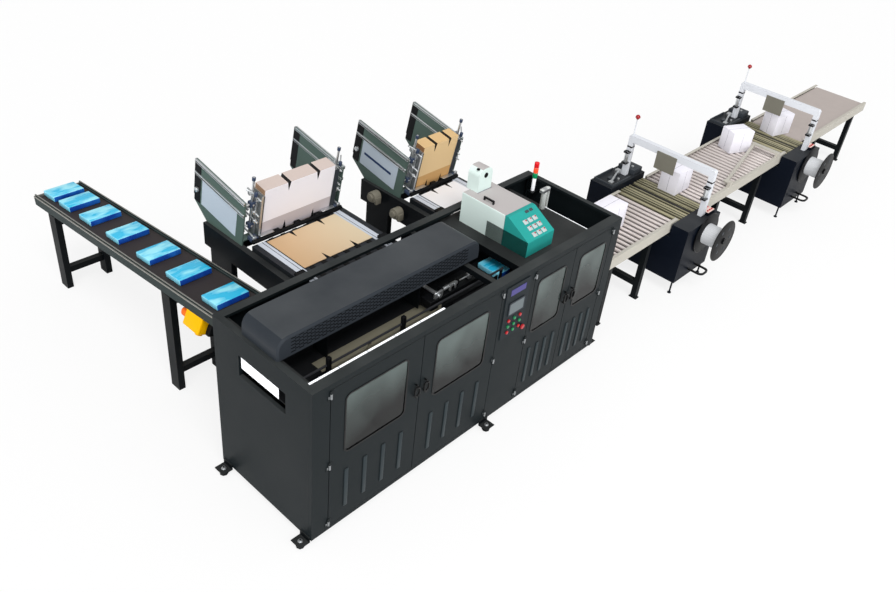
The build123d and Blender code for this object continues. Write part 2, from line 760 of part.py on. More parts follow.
# Lamp strip under the inner edge of the front rim
with BuildPart() as lamp_strip:
    lamp_x = CAB_X + END_RIM + SEAT + LAMP_LENGTH / 2
    for index in range(LAMP_SEGMENTS):
        with BuildSketch(level(CAB_TOP)):
            with Locations(
                (lamp_x + index * (LAMP_LENGTH + LAMP_GAP), CAB_Y + FRONT_RIM + SEAT + LAMP_SIZE / 2)
            ):
                Rectangle(LAMP_LENGTH, LAMP_SIZE)
        extrude(amount=-LAMP_SIZE)
save(lamp_strip, "lamp_strip")

# Deck for the glue unit, folded down along its left and right edges
with BuildPart() as upper_deck:
    deck_x, deck_length = span(CAB_X + DECK_X, CAB_X + DECK_END)
    deck_y, deck_width = span(INSIDE_FRONT, CAB_REAR - SHEET - SEAT)
    with BuildSketch(level(DECK_TOP)):
        with Locations((deck_x, deck_y)):
            Rectangle(deck_length, deck_width)
    extrude(amount=-DECK_PLATE)
    with BuildSketch(level(DECK_TOP)):
        with Locations((deck_x, deck_y)):
            with GridLocations(deck_length - DECK_PLATE, 0, 2, 1):
                Rectangle(DECK_PLATE, deck_width)
    extrude(amount=-DECK_FOLD)
save(upper_deck, "upper_deck")

# Glue unit: tank body, control head with a sloping face, and pump housing
glue_middle = CAB_X + GLUE_X + GLUE_WIDTH / 2
head_front = CAB_Y + GLUE_FRONT
body_front = head_front + HEAD_DEPTH
glue_low = DECK_TOP + SEAT
with BuildPart() as glue_tank:
    body_z, body_height = span(glue_low, GLUE_TOP)
    with BuildSketch(facing_front(body_front + SEAT)):
        with Locations((glue_middle, body_z)):
            Rectangle(GLUE_WIDTH, body_height)
    extrude(amount=-(BODY_DEPTH - SEAT))
    fillet(glue_tank.edges().filter_by(Axis.Y).group_by(Axis.Z)[-1], TANK_CORNER)
    with BuildSketch(facing_right(CAB_X + LID_HANDLE_X - LID_HANDLE_BAR / 2)):
        with Locations((CAB_Y + LID_HANDLE_Y, GLUE_TOP)):
            Rectangle(LID_HANDLE_LENGTH, 2 * LID_HANDLE_RAISE)
            Rectangle(
                LID_HANDLE_LENGTH - 2 * LID_HANDLE_BAR,
                2 * LID_HANDLE_RAISE - 2 * LID_HANDLE_BAR,
                mode=Mode.SUBTRACT,
            )
    extrude(amount=LID_HANDLE_BAR)
save(glue_tank, "glue_tank")

with BuildPart() as glue_control_head:
    with BuildSketch(facing_right(CAB_X + GLUE_X)):
        with BuildLine():
            Polyline(
                (body_front, glue_low),
                (body_front, GLUE_TOP),
                (body_front - HEAD_LIP, GLUE_TOP),
                (head_front, HEAD_STEP),
                (head_front, glue_low),
                close=True,
            )
        make_face()
    extrude(amount=GLUE_WIDTH)
    chamfer(glue_control_head.edges().filter_by(Axis.X).sort_by(Axis.Y)[0:1], HEAD_EDGE)
save(glue_control_head, "glue_control_head")

with BuildPart() as glue_pump_housing:
    pump_x = CAB_X + PUMP_X + PUMP_WIDTH / 2
    pump_z, pump_height = span(GLUE_TOP + SEAT, PUMP_TOP)
    with BuildSketch(facing_front(CAB_Y + PUMP_Y)):
        with Locations((pump_x, pump_z)):
            Rectangle(PUMP_WIDTH, pump_height)
    extrude(amount=-PUMP_DEPTH)
    fillet(glue_pump_housing.edges().filter_by(Axis.Y).group_by(Axis.Z)[-1], PUMP_CORNER)
    with BuildSketch(facing_front(CAB_Y + PUMP_Y)):
        with Locations((pump_x, PUMP_TOP - 3 * PUMP_HOLE)):
            RegularPolygon(PUMP_HOLE, TOWER_SIDES)
    extrude(amount=-PUMP_HOLE, mode=Mode.SUBTRACT)
save(glue_pump_housing, "glue_pump_housing")

# Signal tower: a pole on a wall bracket with three stacked lamps
with BuildPart() as signal_tower:
    bracket_x, bracket_length = span(CAB_X + TOWER_X - 2 * TOWER_RADIUS, CAB_RIGHT - SHEET - SEAT)
    with BuildSketch(level(TOWER_FOOT)):
        with Locations((bracket_x, CAB_Y + TOWER_Y)):
            Rectangle(bracket_length, 3 * TOWER_RADIUS)
    extrude(amount=-DECK_PLATE)
    with BuildSketch(level(TOWER_FOOT)):
        with Locations((CAB_X + TOWER_X, CAB_Y + TOWER_Y)):
            RegularPolygon(POLE_RADIUS, TOWER_SIDES)
    extrude(amount=TOWER_TOP - TOWER_JOINT - TOWER_FOOT)
    lamp_height = (TOWER_TOP - TOWER_POLE) / TOWER_LAMPS
    for index in range(TOWER_LAMPS):
        with BuildSketch(level(TOWER_POLE + index * lamp_height)):
            with Locations((CAB_X + TOWER_X, CAB_Y + TOWER_Y)):
                RegularPolygon(TOWER_RADIUS, TOWER_SIDES)
        extrude(amount=lamp_height - TOWER_JOINT)
save(signal_tower, "signal_tower")

# Air regulator: a bowl and body standing on the deck, with a port block at the top
with BuildPart() as air_regulator:
    with BuildSketch(level(DECK_TOP + SEAT)):
        with Locations((CAB_X + REGULATOR_X, CAB_Y + REGULATOR_Y)):
            RegularPolygon(REGULATOR_RADIUS, TOWER_SIDES)
    extrude(amount=REGULATOR_TOP - DECK_TOP - REGULATOR_RADIUS)
    with BuildSketch(level(REGULATOR_TOP - REGULATOR_RADIUS)):
        with Locations((CAB_X + REGULATOR_X, CAB_Y + REGULATOR_Y)):
            Polygon(*cut_corners(5 * REGULATOR_RADIUS, 2 * REGULATOR_RADIUS, REGULATOR_RADIUS / 2))
    extrude(amount=REGULATOR_RADIUS)
save(air_regulator, "air_regulator")

# Infeed conveyor, drawn flat in its own plane: local X across, local Y away from the cabinet
INFEED_START = CAB_REAR + SEAT + INFEED_SIDE * math.sin(math.radians(INFEED_SLOPE))
INFEED = Plane(
    origin=(CAB_X + INFEED_X, INFEED_START, INFEED_HIGH), x_dir=(1, 0, 0), z_dir=(0, 0, 1)
).rotated((-INFEED_SLOPE, 0, 0))


def infeed_section(distance):
    """Plane across the conveyor at a distance from its high end: sketch X across, sketch Y up."""
    start = INFEED.from_local_coords(Vector(0, distance, 0))
    return Plane(origin=start, x_dir=(1, 0, 0), z_dir=-INFEED.y_dir)


def infeed_side(distance):
    """Plane along the conveyor at a distance from its left side: sketch X away, sketch Y up."""
    start = INFEED.from_local_coords(Vector(distance, 0, 0))
    return Plane(origin=start, x_dir=INFEED.y_dir, z_dir=(1, 0, 0))


with BuildPart() as infeed_side_frames:
    with BuildSketch(infeed_section(0)):
        with Locations((0, -INFEED_SIDE)):
            Rectangle(SHEET, INFEED_SIDE, align=(Align.MIN, Align.MIN))
            Rectangle(INFEED_SIDE_THICK, SHEET, align=(Align.MIN, Align.MIN))
        with Locations((0, 0)):
            Rectangle(INFEED_SIDE_THICK, SHEET, align=(Align.MIN, Align.MAX))
        with Locations((INFEED_SIDE_THICK, 0)):
            Rectangle(SHEET, INFEED_SIDE / 2, align=(Align.MAX, Align.MAX))
        with Locations((INFEED_SIDE_THICK / 2, 0)):
            Rectangle(GUIDE_THICK, GUIDE_HEIGHT, align=(Align.CENTER, Align.MIN))
        mirror(about=Plane.YZ.offset(INFEED_WIDTH / 2))
    extrude(amount=-INFEED_LENGTH)
    for part_way in (1, 5, 9):
        with BuildSketch(infeed_side(SHEET)):
            with Locations((INFEED_LENGTH * part_way / 10, -INFEED_SIDE + SHEET)):
                Rectangle(BRACE_WIDTH, BRACE_THICK, align=(Align.CENTER, Align.MIN))
        extrude(amount=INFEED_WIDTH - 2 * SHEET)
    for distance in (BELT_DEPTH / 2, INFEED_LENGTH - BELT_DEPTH / 2):
        with BuildSketch(infeed_side(SHEET)):
            with Locations((distance, -BELT_DROP - BELT_DEPTH / 2)):
                RegularPolygon(DRUM_RADIUS / 2, DRUM_SIDES)
        extrude(amount=INFEED_WIDTH - 2 * SHEET)
save(infeed_side_frames, "infeed_side_frames")

# Conveyor belt: one closed loop between the side frames
with BuildPart() as infeed_belt:
    with BuildSketch(infeed_side(INFEED_SIDE_THICK + SEAT)):
        with Locations((INFEED_LENGTH / 2, -BELT_DROP - BELT_DEPTH / 2)):
            SlotOverall(INFEED_LENGTH, BELT_DEPTH)
            SlotOverall(INFEED_LENGTH - 2 * BELT_THICK, BELT_DEPTH - 2 * BELT_THICK, mode=Mode.SUBTRACT)
        for distance in (BELT_DEPTH / 2, INFEED_LENGTH - BELT_DEPTH / 2):
            with Locations((distance, -BELT_DROP - BELT_DEPTH / 2)):
                Circle(BELT_DEPTH / 2 - BELT_THICK)
                RegularPolygon(DRUM_RADIUS / 2 + SEAT, DRUM_SIDES, mode=Mode.SUBTRACT)
    extrude(amount=INFEED_WIDTH - 2 * INFEED_SIDE_THICK - 2 * SEAT)
save(infeed_belt, "infeed_belt")

# Infeed legs: two portal frames with a low cross bar, cut to the slope under the side frames
with BuildPart() as infeed_legs:
    for distance in INFEED_LEGS:
        top = INFEED.from_local_coords(Vector(0, distance, -INFEED_SIDE - SEAT)).Z
        low_end = top - INFEED_LEG_DEPTH * math.tan(math.radians(INFEED_SLOPE)) / 2
        leg_y = INFEED.from_local_coords(Vector(0, distance, -INFEED_SIDE)).Y
        for side in (0, INFEED_WIDTH - INFEED_LEG_WIDTH):
            with BuildSketch(level(0)):
                with Locations((CAB_X + INFEED_X + side, leg_y)):
                    Rectangle(INFEED_LEG_WIDTH, INFEED_LEG_DEPTH, align=(Align.MIN, Align.CENTER))
            extrude(amount=low_end)
        for height in (LOW_BAR_Z, low_end - TOP_BAR_DROP):
            with BuildSketch(level(height)):
                with Locations((CAB_X + INFEED_X + INFEED_WIDTH / 2, leg_y)):
                    Rectangle(INFEED_WIDTH - INFEED_LEG_WIDTH, INFEED_LEG_DEPTH / 2)
            extrude(amount=LEG_TUBE + 2)
save(infeed_legs, "infeed_legs")

# Infeed drive: a gearbox and motor hung under the side frames
with BuildPart() as infeed_drive_motor:
    with BuildSketch(infeed_side(MOTOR_IN)):
        with Locations((MOTOR_AT, -INFEED_SIDE - SEAT - MOTOR_BOX_HEIGHT / 2)):
            Rectangle(MOTOR_BOX, MOTOR_BOX_HEIGHT)
    extrude(amount=MOTOR_BOX)
    with BuildSketch(infeed_side(MOTOR_IN + MOTOR_BOX)):
        with Locations((MOTOR_AT, -INFEED_SIDE - MOTOR_BOX_HEIGHT / 2)):
            RegularPolygon(MOTOR_RADIUS, MOTOR_SIDES)
    extrude(amount=MOTOR_LENGTH)
    with BuildSketch(infeed_side(SHEET)):
        with Locations((MOTOR_AT, -INFEED_SIDE - SEAT)):
            Rectangle(MOTOR_BOX_HEIGHT, PANEL_THICK, align=(Align.CENTER, Align.MAX))
    extrude(amount=INFEED_WIDTH - 2 * SHEET)
save(infeed_drive_motor, "infeed_drive_motor")

# Wrapped reams lying across the belt
with BuildPart() as ream_packs:
    for from_end in REAMS_FROM_END:
        with BuildSketch(INFEED.offset(-BELT_DROP + SEAT)):
            with Locations((INFEED_WIDTH / 2, INFEED_LENGTH - from_end)):
                Rectangle(REAM_LENGTH, REAM_WIDTH, align=(Align.CENTER, Align.MAX))
        extrude(amount=REAM_THICK)
save(ream_packs, "ream_packs")


# Blank feeders: side beams on plate legs, a tilted magazine and a feed table
for feeder, left, right, stack_y, beam_rear, blank_width in FEEDERS:
    left_x = CAB_X + left
    right_x = CAB_X + right
    feeder_x, feeder_width = span(left_x, right_x)
    beam_y, beam_length = span(CAB_REAR + SEAT, CAB_Y + beam_rear)
    table_y, table_length = span(CAB_REAR + SEAT, CAB_Y + stack_y - TABLE_SHORT)
    leg_rear = CAB_Y + beam_rear - FEEDER_LEG_OUT - FEEDER_LEG_DEPTH / 2
    leg_front = CAB_REAR + FEEDER_LEG_OUT + FEEDER_LEG_DEPTH / 3
    tilted = Plane(
        origin=(feeder_x, CAB_Y + stack_y, STACK_Z), x_dir=(1, 0, 0), z_dir=(0, 0, 1)
    ).rotated((TILT, 0, 0))

    with BuildPart() as feeder_frame:
        for side in (-1, 1):
            with BuildSketch(level(BEAM_LOW)):
                with Locations((feeder_x + side * feeder_width / 2, beam_y)):
                    Rectangle(BEAM_THICK, beam_length)
            extrude(amount=BEAM_HIGH - BEAM_LOW)
            for leg_y, leg_depth in ((leg_rear, FEEDER_LEG_DEPTH), (leg_front, FEEDER_LEG_DEPTH / 2)):
                with BuildSketch(level(0)):
                    with Locations((feeder_x + side * feeder_width / 2, leg_y)):
                        Rectangle(BEAM_THICK, leg_depth)
                extrude(amount=BEAM_LOW)
                with BuildSketch(level(0)):
                    with Locations((feeder_x + side * feeder_width / 2, leg_y)):
                        Rectangle(BEAM_THICK * 2, leg_depth)
                extrude(amount=FEEDER_FOOT)
        for leg_y in (leg_rear, leg_front):
            for height in (LOW_BAR_Z, BEAM_LOW):
                with BuildSketch(level(height)):
                    with Locations((feeder_x, leg_y)):
                        Rectangle(feeder_width, BEAM_THICK)
                extrude(amount=FEEDER_TIE)
    save(feeder_frame, f"{feeder}_frame")

    with BuildPart() as magazine_sides:
        for side in (-1, 1):
            plate = feeder_x + side * (feeder_width / 2 - SIDE_THICK)
            with BuildSketch(facing_right(plate)):
                with BuildLine():
                    side_end = SIDE_START + SIDE_LENGTH
                    side_top = SIDE_HEIGHT - SIDE_DROP
                    near_low = tilted.from_local_coords(Vector(0, SIDE_START, -SIDE_DROP))
                    far_low = tilted.from_local_coords(Vector(0, side_end, -SIDE_DROP))
                    far_high = tilted.from_local_coords(Vector(0, side_end, side_top))
                    near_high = tilted.from_local_coords(Vector(0, SIDE_START, side_top))
                    Polyline(
                        (near_low.Y, BEAM_HIGH + SEAT),
                        (CAB_Y + beam_rear, BEAM_HIGH + SEAT),
                        (far_low.Y, far_low.Z),
                        (far_high.Y, far_high.Z),
                        (near_high.Y, near_high.Z),
                        close=True,
                    )
                make_face()
            extrude(amount=SIDE_THICK / 2, both=True)
            for height in (side_top - SIDE_RAIL, SIDE_HEIGHT / 2 + SIDE_RAIL):
                rail_start = tilted.from_local_coords(Vector(0, SIDE_START, height))
                rail_plane = Plane(
                    origin=(plate + side * SIDE_THICK / 2, rail_start.Y, rail_start.Z),
                    x_dir=tilted.y_dir,
                    z_dir=(side, 0, 0),
                )
                with BuildSketch(rail_plane):
                    if side > 0:
                        Rectangle(SIDE_LENGTH, SIDE_RAIL, align=(Align.MIN, Align.MIN))
                    else:
                        Rectangle(SIDE_LENGTH, SIDE_RAIL, align=(Align.MIN, Align.MAX))
                extrude(amount=SIDE_RAIL_THICK)
        with BuildSketch(tilted):
            with Locations((0, STACK_DEPTH / 2)):
                Rectangle(feeder_width - 2 * SIDE_THICK, FLOOR_BAR)
        extrude(amount=-FLOOR_BAR_THICK)
    save(magazine_sides, f"{feeder}_magazine_sides")

    # Adjusters: a guide plate each side of the stack, on two cross spindles and a lifting screw
    with BuildPart() as adjusters:
        for side in (-1, 1):
            guide_x = feeder_x + side * (blank_width / 2 + GUIDE_PLATE / 2 + SEAT)
            inner = feeder_x + side * (feeder_width / 2 - 1.5 * SIDE_THICK - SEAT)
            spindle_x, spindle_length = span(min(guide_x, inner), max(guide_x, inner))
            with BuildSketch(tilted):
                with Locations((guide_x - feeder_x, STACK_DEPTH / 2)):
                    Rectangle(GUIDE_PLATE, GUIDE_DEPTH)
            extrude(amount=GUIDE_LENGTH)
            for height in (SCREW_LOW, SCREW_HIGH):
                spot = tilted.from_local_coords(Vector(0, STACK_DEPTH / 2, height))
                with BuildSketch(facing_right(min(guide_x, inner))):
                    with Locations((spot.Y, spot.Z)):
                        RegularPolygon(SCREW_RADIUS, SCREW_SIDES)
                extrude(amount=spindle_length)
                with BuildSketch(facing_right(spindle_x - CLAMP / 2)):
                    with Locations((spot.Y, spot.Z)):
                        Rectangle(CLAMP, CLAMP)
                extrude(amount=CLAMP)
            low = tilted.from_local_coords(Vector(0, STACK_DEPTH / 2, SCREW_LOW))
            screw = Plane(origin=(spindle_x, low.Y, low.Z), x_dir=(1, 0, 0), z_dir=tilted.z_dir)
            with BuildSketch(screw):
                RegularPolygon(SCREW_RADIUS, SCREW_SIDES)
            extrude(amount=BLANK_HEIGHT)
    save(adjusters, f"{feeder}_adjusters")

    # Table: a plate between the beams with feed belts and side strips
    with BuildPart() as table:
        with BuildSketch(level(TABLE_TOP - TABLE_PLATE)):
            with Locations((feeder_x, table_y)):
                Rectangle(feeder_width - BEAM_THICK - 2 * SEAT, table_length)
        extrude(amount=TABLE_PLATE)
        with BuildSketch(level(TABLE_TOP)):
            with Locations((feeder_x, table_y)):
                with GridLocations(blank_width / TABLE_BELTS, 0, TABLE_BELTS, 1):
                    Rectangle(TABLE_BELT, table_length)
        extrude(amount=TABLE_BELT_RAISE)
        with BuildSketch(level(TABLE_TOP - TABLE_PLATE)):
            with Locations((feeder_x, table_y)):
                with GridLocations(feeder_width - BEAM_THICK - 2 * SEAT - SIDE_THICK, 0, 2, 1):
                    Rectangle(SIDE_THICK, table_length)
        extrude(amount=-(TABLE_TOP - TABLE_PLATE - BEAM_HIGH + BEAM_THICK))
    save(table, f"{feeder}_table")

    # Blanks: one on the table and a stack in the magazine, both notched where the flaps part
    with BuildPart() as blanks:
        with BuildSketch(tilted.offset(SEAT)):
            with Locations((0, STACK_DEPTH / 2)):
                Rectangle(blank_width, STACK_DEPTH)
        extrude(amount=BLANK_HEIGHT)
        notch_face = Plane(origin=tilted.origin, x_dir=(1, 0, 0), z_dir=-tilted.y_dir)
        with BuildSketch(notch_face):
            for at in (-blank_width / 6, blank_width / 4):
                Polygon(*notch(at, 0, 1), align=None)
                Polygon(*notch(at, BLANK_HEIGHT + SEAT, -1), align=None)
        extrude(amount=-2 * STACK_DEPTH, mode=Mode.SUBTRACT)
        flat_rear = CAB_Y + stack_y - BLANK_SHORT
        flat_front = flat_rear - BLANK_HEIGHT
        with BuildSketch(level(TABLE_TOP + TABLE_BELT_RAISE + SEAT)):
            with Locations((feeder_x, (flat_rear + flat_front) / 2)):
                Rectangle(blank_width, BLANK_HEIGHT)
            for at in (-blank_width / 6, blank_width / 4):
                Polygon(*notch(feeder_x + at, flat_rear, -1), align=None, mode=Mode.SUBTRACT)
                Polygon(*notch(feeder_x + at, flat_front, 1), align=None, mode=Mode.SUBTRACT)
        extrude(amount=BLANK_THICK)
    save(blanks, f"{feeder}_blanks")

# Outfeed stretches between the cabinet, the strappers and the line's end
TABLE_SPANS = [
    (CAB_X + start + TABLE_START - SEAT, CAB_X + start + TABLE_START + TABLE_LENGTH + SEAT)
    for start in STRAP_STARTS
]
STRETCHES = (
    (OUTFEED_START, TABLE_SPANS[0][0]),
    (TABLE_SPANS[0][1], TABLE_SPANS[1][0]),
    (TABLE_SPANS[1][1], CAB_X + OUTFEED_END),
)
outfeed_mid = CAB_Y + OUTFEED_Y + OUTFEED_WIDTH / 2

# Side rails: folded channels that open inwards
with BuildPart() as outfeed_side_rails:
    for start, end in STRETCHES:
        for side in (-1, 1):
            with BuildSketch(facing_right(start)):
                with Locations((outfeed_mid + side * OUTFEED_WIDTH / 2, CASE_PLANE + RAIL_ABOVE)):
                    edge = Align.MIN if side < 0 else Align.MAX
                    Rectangle(RAIL_FLANGE, RAIL_HEIGHT, align=(edge, Align.MAX))
                with Locations(
                    (outfeed_mid + side * (OUTFEED_WIDTH / 2 - RAIL_WEB), CASE_PLANE + RAIL_ABOVE - RAIL_WEB)
                ):
                    Rectangle(
                        RAIL_FLANGE,
                        RAIL_HEIGHT - 2 * RAIL_WEB,
                        align=(edge, Align.MAX),
                        mode=Mode.SUBTRACT,
                    )
            extrude(amount=end - start)
save(outfeed_side_rails, "outfeed_side_rails")

# Rollers of the first two stretches, between the webs of the rails
with BuildPart() as outfeed_rollers:
    roller_length = OUTFEED_WIDTH - 2 * RAIL_WEB - 2 * SEAT
    for start, end in STRETCHES[:2]:
        count = int((end - start) / ROLLER_PITCH)
        with BuildSketch(facing_front(outfeed_mid)):
            with Locations(((start + end) / 2, CASE_PLANE - ROLLER_RADIUS)):
                with GridLocations(ROLLER_PITCH, 0, count, 1):
                    RegularPolygon(ROLLER_RADIUS, ROLLER_SIDES)
        extrude(amount=roller_length / 2, both=True)
save(outfeed_rollers, "outfeed_rollers")

# Outfeed legs: portal frames with a low cross bar and foot pads
with BuildPart() as outfeed_legs:
    leg_top = CASE_PLANE + RAIL_ABOVE - RAIL_HEIGHT - SEAT
    for at in OUTFEED_LEGS:
        with BuildSketch(facing_right(CAB_X + at)):
            with Locations((outfeed_mid, 0)):
                with GridLocations(OUTFEED_WIDTH - LEG_TUBE, 0, 2, 1):
                    Rectangle(LEG_TUBE, leg_top, align=(Align.CENTER, Align.MIN))
            with Locations((outfeed_mid, leg_top)):
                Rectangle(OUTFEED_WIDTH - LEG_TUBE, LEG_TUBE, align=(Align.CENTER, Align.MAX))
            with Locations((outfeed_mid, LOW_BAR_Z)):
                Rectangle(OUTFEED_WIDTH - LEG_TUBE, LEG_TUBE, align=(Align.CENTER, Align.MIN))
            with Locations((outfeed_mid, 0)):
                with GridLocations(OUTFEED_WIDTH - LEG_TUBE, 0, 2, 1):
                    Rectangle(LEG_TUBE * 1.5, LEG_PAD, align=(Align.CENTER, Align.MIN))
        extrude(amount=LEG_TUBE / 2, both=True)
save(outfeed_legs, "outfeed_legs")

# Exit conveyor belt: one closed loop between the last rails
with BuildPart() as exit_belt:
    start, end = STRETCHES[2]
    with BuildSketch(facing_front(outfeed_mid)):
        with Locations(((start + end) / 2, CASE_PLANE - EXIT_BELT_DEPTH / 2)):
            SlotOverall(end - start - SEAT, EXIT_BELT_DEPTH)
            Rectangle(
                end - start - 2 * EXIT_BELT_DEPTH, EXIT_BELT_DEPTH - 2 * BELT_THICK, mode=Mode.SUBTRACT
            )
    extrude(amount=OUTFEED_WIDTH / 2 - RAIL_FLANGE - SEAT, both=True)
save(exit_belt, "exit_belt")

# Diverter guide: a slanting bar on two posts, with a row of small upright rollers
with BuildPart() as diverter_guide:
    run_x = GUIDE_END[0] - GUIDE_START[0]
    run_y = GUIDE_END[1] - GUIDE_START[1]
    guide_length = math.hypot(run_x, run_y)
    slant = math.degrees(math.atan2(run_y, run_x))
    bar = Plane(
        origin=(CAB_X + GUIDE_START[0], CAB_Y + GUIDE_START[1], GUIDE_Z), x_dir=(1, 0, 0), z_dir=(0, 0, 1)
    ).rotated((0, 0, slant))
    with BuildSketch(bar):
        Rectangle(guide_length, GUIDE_BAR, align=(Align.MIN, Align.CENTER))
    extrude(amount=GUIDE_BAR / 2)
    with BuildSketch(bar):
        with Locations((guide_length / 2, 0)):
            with GridLocations(guide_length / GUIDE_ROLLERS, 0, GUIDE_ROLLERS, 1):
                RegularPolygon(GUIDE_ROLLER, GUIDE_ROLLER_SIDES)
    extrude(amount=-(GUIDE_Z - CASE_PLANE - RAIL_ABOVE - SEAT))
    with BuildSketch(level(GUIDE_Z)):
        for at, reach in (
            (GUIDE_START[0] + GUIDE_BAR, GUIDE_START[1] - OUTFEED_Y + GUIDE_BAR),
            (GUIDE_END[0] - GUIDE_BAR, GUIDE_END[1] - OUTFEED_Y + GUIDE_BAR / 2),
        ):
            with Locations((CAB_X + at, CAB_Y + OUTFEED_Y)):
                Rectangle(2 * GUIDE_BAR, reach, align=(Align.CENTER, Align.MIN))
    extrude(amount=GUIDE_BAR / 2)
    with BuildSketch(level(GUIDE_Z)):
        for at in (GUIDE_START[0] + GUIDE_BAR, GUIDE_END[0] - GUIDE_BAR):
            with Locations((CAB_X + at, CAB_Y + OUTFEED_Y)):
                Rectangle(2 * GUIDE_BAR, RAIL_FLANGE, align=(Align.CENTER, Align.MIN))
    extrude(amount=-(GUIDE_Z - CASE_PLANE - RAIL_ABOVE - SEAT))
save(diverter_guide, "diverter_guide")

# Packed cases standing on the line
with BuildPart() as packed_cases:
    for at_x, at_y, turn in CASE_SPOTS:
        with BuildSketch(level(CASE_PLANE + SEAT)):
            with Locations((CAB_X + at_x, CAB_Y + at_y)):
                Rectangle(CASE_LENGTH, CASE_WIDTH, rotation=turn)
        extrude(amount=CASE_HEIGHT)
save(packed_cases, "packed_cases")

